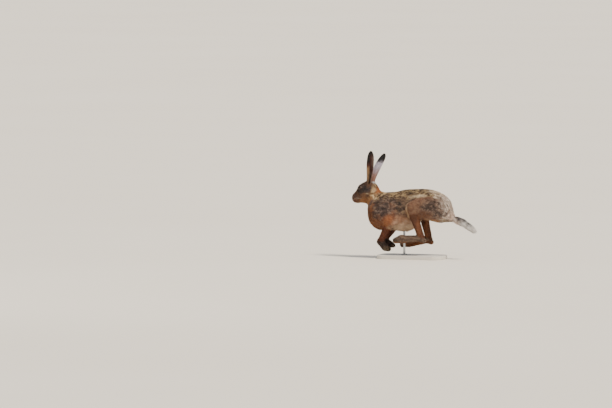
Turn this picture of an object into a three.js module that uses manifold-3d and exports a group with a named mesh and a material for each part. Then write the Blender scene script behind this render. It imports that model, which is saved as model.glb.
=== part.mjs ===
// A life-size brown hare in the gathered leap of its gallop, held over a plain display stand by one rod.
// Millimetres, +Z up. The hare runs towards -X, its left side faces -Y, and the origin is on the floor,
// under the middle of the stand's base.
import * as THREE from "three";
import { mergeVertices } from "three/addons/utils/BufferGeometryUtils.js";
import Module from "manifold-3d";

const wasm = await Module();
wasm.setup();

// Gap between neighbouring nodes
const GAP = 0.3;
const SIDES = [
  ["left", -1],
  ["right", 1],
];
const rad = THREE.MathUtils.degToRad;
const vec = (x, y, z) => new THREE.Vector3(x, y, z);

// Bone lengths, shared by both sides
const BONE = {
  humerus: 92,
  forearm: 109,
  palm: 33,
  fingers: 26,
  femur: 104,
  shank: 138,
  metatarsus: 92,
  toes: 38,
  heel: 15,
};

// The pose of each limb: its root joint, then pitch and splay of each bone in degrees. Pitch 0 points
// forwards, 90 straight down and 180 backwards; splay turns a bone away from the midline.
const POSE = {
  left: {
    shoulder: [-158, 36, 218],
    humerus: [144, 9],
    forearm: [59, -14],
    palm: [130, -4],
    fingers: [159, -4],
    hip: [118, 36, 243],
    femur: [10, 13],
    shank: [108, -3],
    metatarsus: [4.5, -2],
    toes: [11, -2],
    heel: [145, 0],
  },
  right: {
    shoulder: [-158, 36, 208],
    humerus: [150, 8],
    forearm: [55, -14],
    palm: [151, -4],
    fingers: [165, -4],
    hip: [126, 36, 237],
    femur: [13, 14],
    shank: [103.5, -3],
    metatarsus: [10, -2],
    toes: [13, -2],
    heel: [144, 0],
  },
};

// The point that a bone reaches from its joint
function reach(from, length, [pitch, splay], side) {
  const p = rad(pitch);
  const s = rad(splay);
  return from
    .clone()
    .add(
      vec(-Math.cos(p) * Math.cos(s), side * Math.sin(s), -Math.sin(p) * Math.cos(s)).multiplyScalar(length),
    );
}

// The joints of one side's limbs
function jointsOf(name, side) {
  const pose = POSE[name];
  const root = ([x, y, z]) => vec(x, side * y, z);
  const shoulder = root(pose.shoulder);
  const elbow = reach(shoulder, BONE.humerus, pose.humerus, side);
  const wrist = reach(elbow, BONE.forearm, pose.forearm, side);
  const knuckle = reach(wrist, BONE.palm, pose.palm, side);
  const fingertip = reach(knuckle, BONE.fingers, pose.fingers, side);
  const hip = root(pose.hip);
  const knee = reach(hip, BONE.femur, pose.femur, side);
  const hock = reach(knee, BONE.shank, pose.shank, side);
  const heel = reach(hock, BONE.heel, pose.heel, side);
  const ball = reach(hock, BONE.metatarsus, pose.metatarsus, side);
  const toe = reach(ball, BONE.toes, pose.toes, side);
  return { shoulder, elbow, wrist, knuckle, fingertip, hip, knee, hock, heel, ball, toe };
}
const JOINTS = Object.fromEntries(SIDES.map(([name, side]) => [name, jointsOf(name, side)]));

// Signed distance fields

// An ellipsoid, its long axis lifted towards the tail by pitch degrees
function ellipsoid([x, y, z], [rx, ry, rz], pitch = 0) {
  const c = Math.cos(rad(pitch));
  const s = Math.sin(rad(pitch));
  return (px, py, pz) => {
    const dx = px - x;
    const dz = pz - z;
    const ax = (dx * c + dz * s) / rx;
    const ay = (py - y) / ry;
    const az = (-dx * s + dz * c) / rz;
    const k0 = Math.hypot(ax, ay, az);
    const k1 = Math.hypot(ax / rx, ay / ry, az / rz);
    return k0 < 1e-6 ? -Math.min(rx, ry, rz) : (k0 * (k0 - 1)) / k1;
  };
}

// A tapered limb from a to b, with a radius at each end; flat narrows it from side to side
function limb(a, b, ra, rb, flat = 1) {
  const by = (b.y - a.y) / flat;
  const bx = b.x - a.x;
  const bz = b.z - a.z;
  const length2 = bx * bx + by * by + bz * bz;
  return (px, py, pz) => {
    const x = px - a.x;
    const y = (py - a.y) / flat;
    const z = pz - a.z;
    const t = THREE.MathUtils.clamp((x * bx + y * by + z * bz) / length2, 0, 1);
    return Math.hypot(x - bx * t, y - by * t, z - bz * t) - (ra + (rb - ra) * t);
  };
}

// Union of fields that melt into each other over about blend millimetres
function melt(blend, ...fields) {
  return (x, y, z) => {
    let d = fields[0](x, y, z);
    for (let i = 1; i < fields.length; i++) {
      const e = fields[i](x, y, z);
      const h = Math.max(blend - Math.abs(d - e), 0) / blend;
      d = Math.min(d, e) - h * h * blend * 0.25;
    }
    return d;
  };
}

// Meshing and solids

// The corners of a grid cell, the edges that join them, and the edges round each of its faces
const CORNERS = [0, 1, 2, 3, 4, 5, 6, 7].map((c) => [c & 1, (c >> 1) & 1, c >> 2]);
const EDGES = CORNERS.flatMap((_, a) => [1, 2, 4].filter((bit) => !(a & bit)).map((bit) => [a, a | bit]));
const edgeOf = (a, b) => EDGES.findIndex(([c, d]) => (c === a && d === b) || (c === b && d === a));
const FACES = [1, 2, 4].flatMap((axis, k) => {
  const [u, v] = [1, 2, 4].filter((bit) => bit !== axis);
  return [0, axis].map((base) => {
    const ring = [base, base | u, base | u | v, base | v];
    return ring.map((corner, i) => {
      const edges = [edgeOf(ring[(i + 3) % 4], corner), edgeOf(corner, ring[(i + 1) % 4])];
      return { corner, edges };
    });
  });
});

// The crossed edges of a cell, sorted into one list for each sheet of surface that passes through it
function sheetsOf(v) {
  const crossed = EDGES.map(([a, b]) => v[a] < 0 !== v[b] < 0);
  const sheet = EDGES.map((_, e) => e);
  const join = (e, f) => {
    const [from, to] = [sheet[e], sheet[f]];
    for (let i = 0; i < sheet.length; i++) if (sheet[i] === from) sheet[i] = to;
  };
  for (const face of FACES) {
    const cut = [...new Set(face.flatMap(({ edges }) => edges))].filter((e) => crossed[e]);
    if (cut.length === 2) join(...cut);
    if (cut.length === 4) for (const { corner, edges } of face) if (v[corner] < 0) join(...edges);
  }
  const open = EDGES.map((_, e) => e).filter((e) => crossed[e]);
  return [...new Set(open.map((e) => sheet[e]))].map((s) => open.filter((e) => sheet[e] === s));
}

// Closed surface of a field inside a box, one vertex for each sheet in each cell, moved onto the surface
function surface(field, lo, hi, cell) {
  const n = [0, 1, 2].map((k) => Math.ceil((hi[k] - lo[k]) / cell) + 3);
  const at = (i, j, k) => (k * n[1] + j) * n[0] + i;
  const pos = (i, k) => lo[k] + (i - 1) * cell;
  const value = new Float64Array(n[0] * n[1] * n[2]);
  for (let k = 0; k < n[2]; k++)
    for (let j = 0; j < n[1]; j++)
      for (let i = 0; i < n[0]; i++) {
        const rim = i === 0 || j === 0 || k === 0 || i === n[0] - 1 || j === n[1] - 1 || k === n[2] - 1;
        const v = field(pos(i, 0), pos(j, 1), pos(k, 2));
        value[at(i, j, k)] = rim ? Math.max(v, cell * 0.5) : v || 1e-9;
      }
  const vertexAt = new Map();
  const points = [];
  for (let k = 0; k < n[2] - 1; k++)
    for (let j = 0; j < n[1] - 1; j++)
      for (let i = 0; i < n[0] - 1; i++) {
        const v = CORNERS.map(([a, b, c]) => value[at(i + a, j + b, k + c)]);
        if (v.every((d) => d < 0) || v.every((d) => d >= 0)) continue;
        for (const sheet of sheetsOf(v)) {
          const sum = [0, 0, 0];
          for (const e of sheet) {
            const [a, b] = EDGES[e];
            const t = v[a] / (v[a] - v[b]);
            for (let q = 0; q < 3; q++) sum[q] += CORNERS[a][q] + (CORNERS[b][q] - CORNERS[a][q]) * t;
            vertexAt.set(at(i, j, k) * 12 + e, points.length);
          }
          const [x, y, z] = sum.map((s) => s / sheet.length);
          points.push([pos(i + x, 0), pos(j + y, 1), pos(k + z, 2)]);
        }
      }
  settle(points, field, lo, hi, cell);
  return new THREE.BufferGeometry()
    .setAttribute("position", new THREE.Float32BufferAttribute(points.flat(), 3))
    .setIndex(faces(n, at, value, vertexAt, points));
}

// Moves points inside the box onto the field's surface
function settle(points, field, lo, hi, cell) {
  const step = 0.2;
  for (const p of points)
    for (let round = 0; round < 2; round++) {
      if (![0, 1, 2].every((q) => p[q] > lo[q] && p[q] < hi[q])) continue;
      const [x, y, z] = p;
      const d = field(x, y, z);
      const beside = [field(x + step, y, z), field(x, y + step, z), field(x, y, z + step)];
      const g = beside.map((v) => (v - d) / step);
      const steep = Math.max(g[0] ** 2 + g[1] ** 2 + g[2] ** 2, 0.2);
      const move = THREE.MathUtils.clamp(d, -cell * 0.35, cell * 0.35) / steep;
      for (let q = 0; q < 3; q++) p[q] -= g[q] * move;
    }
}

// Two triangles round each crossed grid edge, split along the shorter diagonal
function faces(n, at, value, vertexAt, points) {
  const index = [];
  const apart = (a, b) => Math.hypot(...[0, 1, 2].map((q) => points[a][q] - points[b][q]));
  for (let k = 0; k < n[2] - 1; k++)
    for (let j = 0; j < n[1] - 1; j++)
      for (let i = 0; i < n[0] - 1; i++)
        for (let axis = 0; axis < 3; axis++) {
          const unit = [0, 1, 2].map((q) => Number(q === axis));
          const here = value[at(i, j, k)] < 0;
          if (here === value[at(i + unit[0], j + unit[1], k + unit[2])] < 0) continue;
          const [u, w] = [(axis + 1) % 3, (axis + 2) % 3];
          const ring = [3, 2, 0, 1].map((turn) => {
            const back = [0, 0, 0];
            back[u] = turn & 1;
            back[w] = turn >> 1;
            const from = back[0] | (back[1] << 1) | (back[2] << 2);
            const cell = at(i - back[0], j - back[1], k - back[2]);
            return vertexAt.get(cell * 12 + edgeOf(from, from | (1 << axis)));
          });
          const q = here ? ring : ring.reverse();
          if (apart(q[0], q[2]) < apart(q[1], q[3])) index.push(q[0], q[1], q[2], q[0], q[2], q[3]);
          else index.push(q[1], q[2], q[3], q[1], q[3], q[0]);
        }
  return index;
}

// A three.js geometry as a solid that can be joined and cut
function solid(geometry, matrix) {
  const bare = geometry.clone();
  if (matrix) bare.applyMatrix4(matrix);
  const shape = bare.attributes.normal ? merged(bare) : bare;
  return new wasm.Manifold(
    new wasm.Mesh({
      numProp: 3,
      vertProperties: new Float32Array(shape.attributes.position.array),
      triVerts: new Uint32Array(shape.index.array),
    }),
  );
}

// The same geometry with only positions, shared by the triangles that meet there
function merged(geometry) {
  geometry.deleteAttribute("normal");
  geometry.deleteAttribute("uv");
  return mergeVertices(geometry, 1e-4);
}

// The largest closed body of a solid
function largest(s) {
  return s.decompose().sort((a, b) => b.volume() - a.volume())[0];
}

const place = (position, quaternion = new THREE.Quaternion(), scale = vec(1, 1, 1)) =>
  new THREE.Matrix4().compose(position, quaternion, scale);
const turnTo = (from, to) => new THREE.Quaternion().setFromUnitVectors(from, to.clone().normalize());
const Y = vec(0, 1, 0);
const Z = vec(0, 0, 1);

// Cutting regions, each as a function of how far it is grown

// An upright elliptic disc from the plane at |y| = inner out past the side of the body
function disc([x, z], [rx, rz], side, inner, pitch = 0) {
  const outer = 160;
  return (grow) => {
    const length = outer - inner + grow;
    const middle = vec(x, side * (inner - grow + length / 2), z);
    const turn = new THREE.Quaternion().setFromAxisAngle(Y, rad(-pitch));
    const shape = new THREE.CylinderGeometry(1, 1, length, 30);
    return solid(shape, place(middle, turn, vec(rx + grow, 1, rz + grow)));
  };
}

// A tapered sleeve round a limb from a to b, with a round end at a
function sleeve(a, b, ra, rb) {
  return (grow) => {
    const along = b.clone().sub(a).normalize();
    const length = a.distanceTo(b) + grow;
    const dome = [90, 60, 30, 0].map((angle) => {
      const r = ra + grow;
      return new THREE.Vector2(r * Math.cos(rad(angle)), -0.6 * r * Math.sin(rad(angle)));
    });
    dome[0].x = 0;
    const end = [new THREE.Vector2(rb + grow, length), new THREE.Vector2(0, length)];
    return solid(new THREE.LatheGeometry([...dome, ...end], 20), place(a, turnTo(Y, along)));
  };
}

// Everything past a plane, on the side that its normal points to
function beyond(point, normal) {
  const size = 600;
  return (grow) => {
    const n = normal.clone().normalize();
    const middle = point.clone().addScaledVector(n, size / 2 - grow);
    return solid(new THREE.BoxGeometry(size, size, size), place(middle, turnTo(Z, n)));
  };
}

// The head, in its own frame: s runs back from the tip of the nose, t up, y to the side

const HEAD = { nose: vec(-278, 0, 260), pitch: 30 };
const headAxis = vec(Math.cos(rad(HEAD.pitch)), 0, Math.sin(rad(HEAD.pitch)));
const headUp = vec(-Math.sin(rad(HEAD.pitch)), 0, Math.cos(rad(HEAD.pitch)));
const onHead = (s, y, t) => HEAD.nose.clone().addScaledVector(headAxis, s).addScaledVector(headUp, t).setY(y);
const headBall = (s, y, t, rs, ry, rt, tilt = 0) =>
  ellipsoid(onHead(s, y, t).toArray(), [rs, ry, rt], HEAD.pitch + tilt);

const EYE = { s: 63, y: 20, t: 18.5, radius: 9, lid: 1.9 };
// The lip line runs round the muzzle from its front, falling to the corners; the cleft is above it
const MOUTH = { width: 1.1, middle: 17, front: -14.5, drop: 9, corner: 100, cleft: [-1, -5, -10] };
const NOSTRIL = { y: 4.8, t: 1.5, size: [3.6, 1.5, 2.2] };

function headField() {
  const cranium = headBall(80, 0, 9, 31, 25, 26);
  const face = limb(onHead(20, 0, 0), onHead(58, 0, 12), 13.5, 20, 0.9);
  const muzzle = headBall(15, 0, -7, 15, 14, 17);
  const pads = SIDES.map(([, side]) => headBall(12, side * 7.5, -12, 12.5, 9, 11));
  const jaw = limb(onHead(21, 0, -24), onHead(50, 0, -33), 9, 15, 1.1);
  const cheeks = SIDES.map(([, side]) => headBall(56, side * 10, -18, 23, 16, 21));
  const brows = SIDES.map(([, side]) => headBall(65, side * 15, 22.5, 15, 8, 7, -4));
  const earRoots = SIDES.map(([, side]) => headBall(100, side * 15, 16, 14, 12, 17));
  return melt(11, melt(18, cranium, face, muzzle, jaw, ...cheeks), ...pads, ...brows, ...earRoots);
}

// Trunk and neck

function trunkField() {
  const chest = ellipsoid([-116, 0, 204], [82, 53, 82], -4);
  const breast = ellipsoid([-154, 0, 192], [46, 42, 62], 0);
  const withers = ellipsoid([-104, 0, 246], [66, 34, 38], 0);
  const belly = ellipsoid([-40, 0, 207], [92, 54, 90], 0);
  const loin = ellipsoid([22, 0, 250], [96, 48, 58], 0);
  const rump = ellipsoid([98, 0, 234], [92, 57, 68], -17);
  const tailRoot = ellipsoid([166, 0, 190], [38, 26, 24], -22);
  return melt(26, chest, breast, withers, belly, loin, rump, tailRoot);
}

function neckField() {
  const nape = ellipsoid([-189, 0, 298], [31, 30, 33]);
  return melt(16, nape, limb(vec(-186, 0, 290), vec(-150, 0, 232), 30, 50, 0.84));
}

// Limbs

function thighField(joints, side) {
  const haunch = ellipsoid([92, side * 50, 222], [74, 28, 50], 4);
  const thigh = limb(joints.hip, joints.knee, 40, 27, 0.82);
  const buttock = ellipsoid([138, side * 34, 202], [44, 26, 40], -15);
  return melt(16, haunch, thigh, buttock);
}

// Where the middle of each toe's end lies, counted from the inner toe
const toeTip = ({ toe }, k) => toe.clone().add(vec(Math.abs(k) * 3.5, k * 8.4, 0));
const fingerTip = ({ fingertip }, k) => fingertip.clone().add(vec(-Math.abs(k) * 3, k * 6.6, 0));

function lowerHindField(joints) {
  const { knee, hock, heel, ball } = joints;
  const calf = limb(knee, hock, 23, 13, 0.86);
  const tendon = limb(knee.clone().lerp(hock, 0.45), heel, 12, 8.5, 0.7);
  const arch = limb(hock, ball, 13, 17.5, 0.9);
  const toes = [-1.5, -0.5, 0.5, 1.5].map((k) => {
    const start = ball.clone().add(vec(0, k * 7.4, 2));
    return limb(start, toeTip(joints, k).add(vec(5, 0, 1)), 18, 12.5, 0.45);
  });
  return melt(4, melt(9, calf, tendon, arch, limb(hock, heel, 12, 10, 0.9)), ...toes);
}

function upperForeField(joints, side) {
  const { shoulder, elbow } = joints;
  const blade = ellipsoid([-128, side * 36, 235], [34, 20, 52], -28);
  const arm = limb(shoulder, elbow, 33, 28, 0.68);
  return melt(14, blade, arm);
}

function lowerForeField(joints) {
  const { elbow, wrist, knuckle } = joints;
  const forearm = limb(elbow, wrist, 20, 13, 0.86);
  const palm = limb(wrist, knuckle, 15, 15.5, 0.95);
  const fingers = [-1.5, -0.5, 0.5, 1.5].map((k) => {
    const start = knuckle.clone().add(vec(0, k * 5.8, 0));
    return limb(start, fingerTip(joints, k).add(vec(-6, 0, 1)), 12.5, 10, 0.5);
  });
  return melt(4, melt(8, forearm, palm), ...fingers);
}

// Tail: a flattened brush, black above and white below

const TAIL = {
  path: new THREE.CatmullRomCurve3([
    vec(172, 0, 187),
    vec(204, 0, 176),
    vec(236, 0, 162),
    vec(262, 0, 146),
    vec(281, 0, 129),
  ]),
  // Radius of the core at even steps along the path
  radii: [15, 10.5, 8.5, 7.5, 7, 5, 3],
};


// Rows of flat locks along the tail: where each row is rooted, how far its tips rise from the core, their
// length. Each row lies over the roots of the next one, and the last rows close in on the tail's end.
const LOCKS = {
  rows: [
    [0.05, 3.5, 56],
    [0.25, 8, 54],
    [0.45, 9.5, 50],
    [0.64, 10, 44],
    [0.82, 7.5, 30],
  ],
  around: 5,
  // Width against the room that each lock has, and how late it narrows
  overlap: 0.85,
  blunt: 3,
  bend: 0.55,
  close: 0.34,
  thick: 2.2,
  tip: 0.4,
  sunk: 4,
  spread: 0.08,
};

function tailField() {
  const last = TAIL.radii.length - 1;
  const lengths = TAIL.radii.slice(1).map((r, i) => {
    const a = TAIL.path.getPoint(i / last);
    const b = TAIL.path.getPoint((i + 1) / last);
    return limb(a, b, TAIL.radii[i], r);
  });
  return melt(3, ...lengths);
}

// The whole animal, and each limb by itself

const head = headField();
const trunk = trunkField();
const neck = neckField();
const tail = tailField();
const limbs = Object.fromEntries(
  SIDES.map(([name, side]) => [
    name,
    {
      thigh: thighField(JOINTS[name], side),
      hind: lowerHindField(JOINTS[name], side),
      arm: upperForeField(JOINTS[name], side),
      fore: lowerForeField(JOINTS[name], side),
    },
  ]),
);
const core = melt(
  18,
  melt(22, trunk, neck, head),
  limbs.left.thigh,
  limbs.right.thigh,
  limbs.left.arm,
  limbs.right.arm,
);
const body = melt(10, core, tail, limbs.left.hind, limbs.right.hind, limbs.left.fore, limbs.right.fore);

const group = new THREE.Group();

// One named mesh of the group
function node(name, made, look) {
  const mesh = made.getMesh();
  const geometry = new THREE.BufferGeometry()
    .setAttribute("position", new THREE.BufferAttribute(new Float32Array(mesh.vertProperties), 3))
    .setIndex(new THREE.BufferAttribute(new Uint32Array(mesh.triVerts), 1));
  geometry.computeVertexNormals();
  const part = new THREE.Mesh(geometry, new THREE.MeshStandardMaterial(look));
  part.name = name;
  group.add(part);
}

const COAT = {
  back: { color: 0x8a6a4c, roughness: 0.95, metalness: 0 },
  flank: { color: 0x9a6238, roughness: 0.95, metalness: 0 },
  leg: { color: 0x8a532f, roughness: 0.95, metalness: 0 },
  ear: { color: 0x7d6450, roughness: 0.9, metalness: 0 },
  tail: { color: 0xe9e4df, roughness: 0.95, metalness: 0 },
};
const HORN = { color: 0x2a211b, roughness: 0.45, metalness: 0 };
const EYEBALL = { color: 0x3a2008, roughness: 0.08, metalness: 0 };
const BOARD = { color: 0xd9d4ca, roughness: 0.5, metalness: 0 };
const STEEL = { color: 0x9a9c9f, roughness: 0.3, metalness: 1 };

// Cuts a field's surface to the regions it keeps, less the regions that other nodes have taken
function carve(field, [lo, hi], cell, keep, ...taken) {
  let made = solid(surface(field, lo, hi, cell));
  for (const region of keep) made = made.intersect(region(0));
  for (const region of taken) made = made.subtract(region(GAP));
  return largest(made);
}

function span(points, margin) {
  const box = new THREE.Box3().setFromPoints(points).expandByScalar(margin);
  return [box.min.toArray(), box.max.toArray()];
}

const headPlane = beyond(onHead(104, 0, -4), vec(-0.8, 0, 0.27));
const neckPlane = beyond(vec(-168, 0, 258), vec(-0.78, 0, 0.62));
const tailPlane = beyond(vec(190, 0, 186), vec(0.93, 0, -0.36));

// Eyes: a ball in a socket, inside a rim of lids

function eyeball(side, grow) {
  const at = onHead(EYE.s, side * EYE.y, EYE.t);
  return solid(new THREE.SphereGeometry(EYE.radius + grow, 14, 8), place(at, turnTo(Y, vec(0, side, 0))));
}

function lids(side) {
  const outwards = vec(-0.25, side * 0.95, 0.1).normalize();
  const at = onHead(EYE.s, side * EYE.y, EYE.t).addScaledVector(outwards, 4.2);
  const rim = new THREE.TorusGeometry(EYE.radius - 0.4, EYE.lid, 5, 14);
  const slant = new THREE.Quaternion().setFromAxisAngle(outwards, side * rad(HEAD.pitch + 2));
  return solid(rim, place(at, slant.multiply(turnTo(Z, outwards)), vec(1.1, 0.96, 0.9)));
}

// Mouth and nose: a groove along the lips, the cleft up to the nose, and two nostrils

// Where a line that starts outside the head meets it
function meet(from, direction) {
  const p = from.clone();
  for (let i = 0; i < 60; i++) p.addScaledVector(direction, head(p.x, p.y, p.z));
  return p;
}
const onFront = (y, t) => meet(onHead(-25, y, t), headAxis);

function lipPoint(side, angle) {
  const t = MOUTH.front - MOUTH.drop * (angle / MOUTH.corner) ** 1.5;
  const out = headAxis.clone().multiplyScalar(-Math.cos(rad(angle))).setY(side * Math.sin(rad(angle)));
  return meet(onHead(MOUTH.middle, 0, t).addScaledVector(out, 50), out.negate());
}

function groove(points, radius) {
  const path = new THREE.CatmullRomCurve3(points);
  const ring = new THREE.Shape().absarc(0, 0, radius, 0, Math.PI * 2);
  const options = { steps: points.length, curveSegments: 3, extrudePath: path };
  return solid(new THREE.ExtrudeGeometry(ring, options));
}

function noseAndMouth() {
  const lips = SIDES.map(([, side]) => {
    const angles = [0, 0.1, 0.2, 0.3, 0.45, 0.6, 0.8, 1].map((share) => share * MOUTH.corner);
    return groove(angles.map((angle) => lipPoint(side, angle)), MOUTH.width);
  });
  const cleft = groove([...MOUTH.cleft, MOUTH.front].map((t) => onFront(0, t)), MOUTH.width * 0.8);
  const nostrils = SIDES.map(([, side]) => {
    const turn = new THREE.Quaternion().setFromEuler(new THREE.Euler(side * 0.5, rad(HEAD.pitch - 50), 0));
    const at = onFront(side * NOSTRIL.y, NOSTRIL.t);
    return solid(new THREE.SphereGeometry(1, 8, 6), place(at, turn, vec(...NOSTRIL.size)));
  });
  return wasm.Manifold.union([...lips, cleft, ...nostrils]);
}

// Ears: a curved sheet, nearly a tube at its root and an open cup above

const EAR = {
  // Sweep is how far the ear's middle bows forwards of the line from its root to its tip
  left: { root: [-196, -15, 322], tip: [-181, -30, 469], open: [0.34, -0.94], sweep: 0 },
  right: { root: [-194, 15, 320], tip: [-136, 36, 456], open: [0.2, 0.98], sweep: 9 },
  // Along the ear: radius of the curl, half the angle that it covers in degrees, and thickness
  stations: [
    [0, 12, 164, 3.4],
    [0.12, 12, 158, 3.2],
    [0.26, 12.5, 134, 3],
    [0.4, 14.5, 106, 2.8],
    [0.55, 16.5, 92, 2.6],
    [0.7, 17, 82, 2.4],
    [0.84, 16.5, 72, 2.2],
    [0.94, 13, 64, 1.8],
    [1, 6.5, 50, 1.2],
  ],
  across: 8,
  bow: 5,
  plug: 3,
};

// Where an ear lies: the middle of its curl at each station, and the directions to build it on
function earFrame({ root, tip, open, sweep }) {
  const [a, b] = [vec(...root), vec(...tip)];
  const up = b.clone().sub(a).normalize();
  const facing = vec(...open, 0).addScaledVector(up, -vec(...open, 0).dot(up)).normalize();
  const across = up.clone().cross(facing);
  const middle = (t, radius) =>
    a
      .clone()
      .lerp(b, t)
      .addScaledVector(facing, radius - EAR.bow * Math.sin(Math.PI * t) - 12)
      .add(vec(-sweep * Math.sin(Math.PI * t), 0, 0));
  const point = (centre, r, angle) =>
    centre
      .clone()
      .addScaledVector(facing, -Math.cos(angle) * r)
      .addScaledVector(across, Math.sin(angle) * r);
  return { up, middle, point };
}

const evenly = (n) => Array.from({ length: n + 1 }, (_, i) => (2 * i) / n - 1);

function ear(shape) {
  const { middle, point } = earFrame(shape);
  const rings = EAR.stations.map(([t, radius, half, thick]) => {
    const centre = middle(t, radius);
    const row = (r, share) => evenly(EAR.across).map((k) => point(centre, r, rad(half) * share * k));
    return [...row(radius, 1), ...row(radius - thick, 0.96).reverse()];
  });
  return loft(rings, EAR.across + 1);
}

// The root of the ear with its curl filled up, which is what the head makes room for
function earPlug(shape, grow) {
  const { up, middle, point } = earFrame(shape);
  const rings = EAR.stations.slice(0, EAR.plug).map(([t, radius], i) => {
    const centre = middle(t, radius).addScaledVector(up, i ? 0 : -grow);
    const row = (from) => evenly(EAR.across).map((k) => point(centre, radius + grow, from + rad(85) * k));
    return [...row(0), ...row(Math.PI)];
  });
  return loft(rings, EAR.across + 1);
}

// A closed surface through rings of points; each ring is an outer row and, running back, an inner row
function loft(rings, row) {
  const n = rings[0].length;
  const index = [];
  rings.slice(1).forEach((_, k) => {
    for (let i = 0; i < n; i++) {
      const [p, q] = [k * n + i, k * n + ((i + 1) % n)];
      if (i < row) index.push(p, p + n, q, q, p + n, q + n);
      else index.push(p, q + n, q, p, p + n, q + n);
    }
  });
  for (let i = 0; i < row - 1; i++) {
    const [p, q] = [i, n - 1 - i];
    const top = (rings.length - 1) * n;
    index.push(p, p + 1, q, top + p, top + q, top + p + 1);
    if (q - 1 > p + 1) index.push(p + 1, q - 1, q, top + p + 1, top + q, top + q - 1);
  }
  return new THREE.BufferGeometry()
    .setAttribute("position", new THREE.Float32BufferAttribute(rings.flat().flatMap((p) => p.toArray()), 3))
    .setIndex(index);
}

let headSolid = carve(core, [[-300, -48, 205], [-150, 48, 365]], 7, [headPlane]);
for (const [name, side] of SIDES) {
  headSolid = headSolid.add(lids(side)).subtract(eyeball(side, GAP)).subtract(solid(earPlug(EAR[name], GAP)));
  node("eye_" + name, eyeball(side, 0), EYEBALL);
  node("ear_" + name, solid(ear(EAR[name])), COAT.ear);
}
node("head", largest(headSolid.subtract(noseAndMouth())), COAT.back);
node("neck", carve(core, [[-240, -70, 180], [-110, 70, 350]], 11, [neckPlane], headPlane), COAT.back);

// Stand: a board, one rod up into the belly, and the flange that holds it

const STAND = {
  board: [300, 150, 16],
  corner: 40,
  chamfer: 1.5,
  rodX: -36,
  rodRadius: 5,
  socket: 8,
  flange: [13, 5],
  rodTop: 132,
};

function standBoard() {
  const [length, width, thick] = STAND.board;
  const [a, b, r] = [length / 2 - STAND.chamfer, width / 2 - STAND.chamfer, STAND.corner];
  const outline = new THREE.Shape();
  outline.absarc(a - r, b - r, r, 0, Math.PI / 2);
  outline.absarc(-a + r, b - r, r, Math.PI / 2, Math.PI);
  outline.absarc(-a + r, -b + r, r, Math.PI, Math.PI * 1.5);
  outline.absarc(a - r, -b + r, r, Math.PI * 1.5, Math.PI * 2);
  const shape = new THREE.ExtrudeGeometry(outline, {
    depth: thick - 2 * STAND.chamfer,
    bevelThickness: STAND.chamfer,
    bevelSize: STAND.chamfer,
    bevelSegments: 1,
    curveSegments: 4,
  });
  return solid(shape, place(vec(0, 0, STAND.chamfer)));
}

const upright = (radius, from, to) =>
  solid(
    new THREE.CylinderGeometry(radius, radius, to - from, 20),
    place(vec(STAND.rodX, 0, (from + to) / 2), turnTo(Y, Z)),
  );

const boardTop = STAND.board[2];
const [flangeRadius, flangeHeight] = STAND.flange;
const flange = upright(flangeRadius, boardTop + GAP, boardTop + flangeHeight);
const rodHole = upright(STAND.rodRadius + GAP, boardTop - STAND.socket - GAP, STAND.rodTop + GAP);
node("stand_board", standBoard().subtract(rodHole), BOARD);
node("stand_flange", flange.subtract(rodHole), STEEL);
node("stand_rod", upright(STAND.rodRadius, boardTop - STAND.socket, STAND.rodTop), STEEL);

// Trunk and tail

const regions = {};
for (const [name, side] of SIDES) {
  const j = JOINTS[name];
  const bend = (a, b, c) => b.clone().sub(a).normalize().add(c.clone().sub(b).normalize()).normalize();
  const hockBend = bend(j.knee, j.hock, j.ball);
  const wristBend = bend(j.elbow, j.wrist, j.knuckle);
  regions[name] = {
    thigh: disc([78, 218], [102, 62], side, 34, 4),
    shank: sleeve(j.knee.clone().lerp(j.hock, 0.24), j.hock, 29, 26),
    arm: disc([-118, 196], [50, 66], side, 30, -40),
    forearm: sleeve(j.elbow.clone().lerp(j.wrist, 0.3), j.wrist, 24, 21),
    foot: beyond(j.hock.clone().addScaledVector(hockBend, -7), hockBend),
    paw: beyond(j.wrist.clone().addScaledVector(wristBend, -5), wristBend),
  };
}
const limbRegions = SIDES.flatMap(([name]) => {
  const { thigh, shank, arm, forearm } = regions[name];
  return [thigh, shank, arm, forearm];
});
const torso = carve(body, [[-230, -84, 90], [215, 84, 330]], 19, [], neckPlane, tailPlane, ...limbRegions);
node("torso", torso.subtract(rodHole), COAT.flank);


// Tail: a core with rows of flat, tapered locks that overlap along it

// A chance number between -1 and 1 from a fixed seed
let seed = 7;
function draw() {
  seed = (seed * 1103515245 + 12345) % 2147483648;
  return (2 * seed) / 2147483648 - 1;
}

// The tail's own directions at t: its middle, the way along it, up and to the side, and the core's radius.
// Past the last point the line runs straight on.
function alongTail(t) {
  const inside = Math.min(t, 1);
  const along = TAIL.path.getTangent(inside);
  const side = vec(0, 1, 0);
  const up = side.clone().cross(along);
  const middle = TAIL.path.getPoint(inside).addScaledVector(along, (t - inside) * TAIL.path.getLength());
  const at = THREE.MathUtils.mapLinear(inside, 0, 1, 0, TAIL.radii.length - 1);
  const next = Math.min(Math.floor(at) + 1, TAIL.radii.length - 1);
  const radius = THREE.MathUtils.lerp(TAIL.radii[Math.floor(at)], TAIL.radii[next], at % 1);
  return { middle, along, up, side, radius };
}

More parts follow.
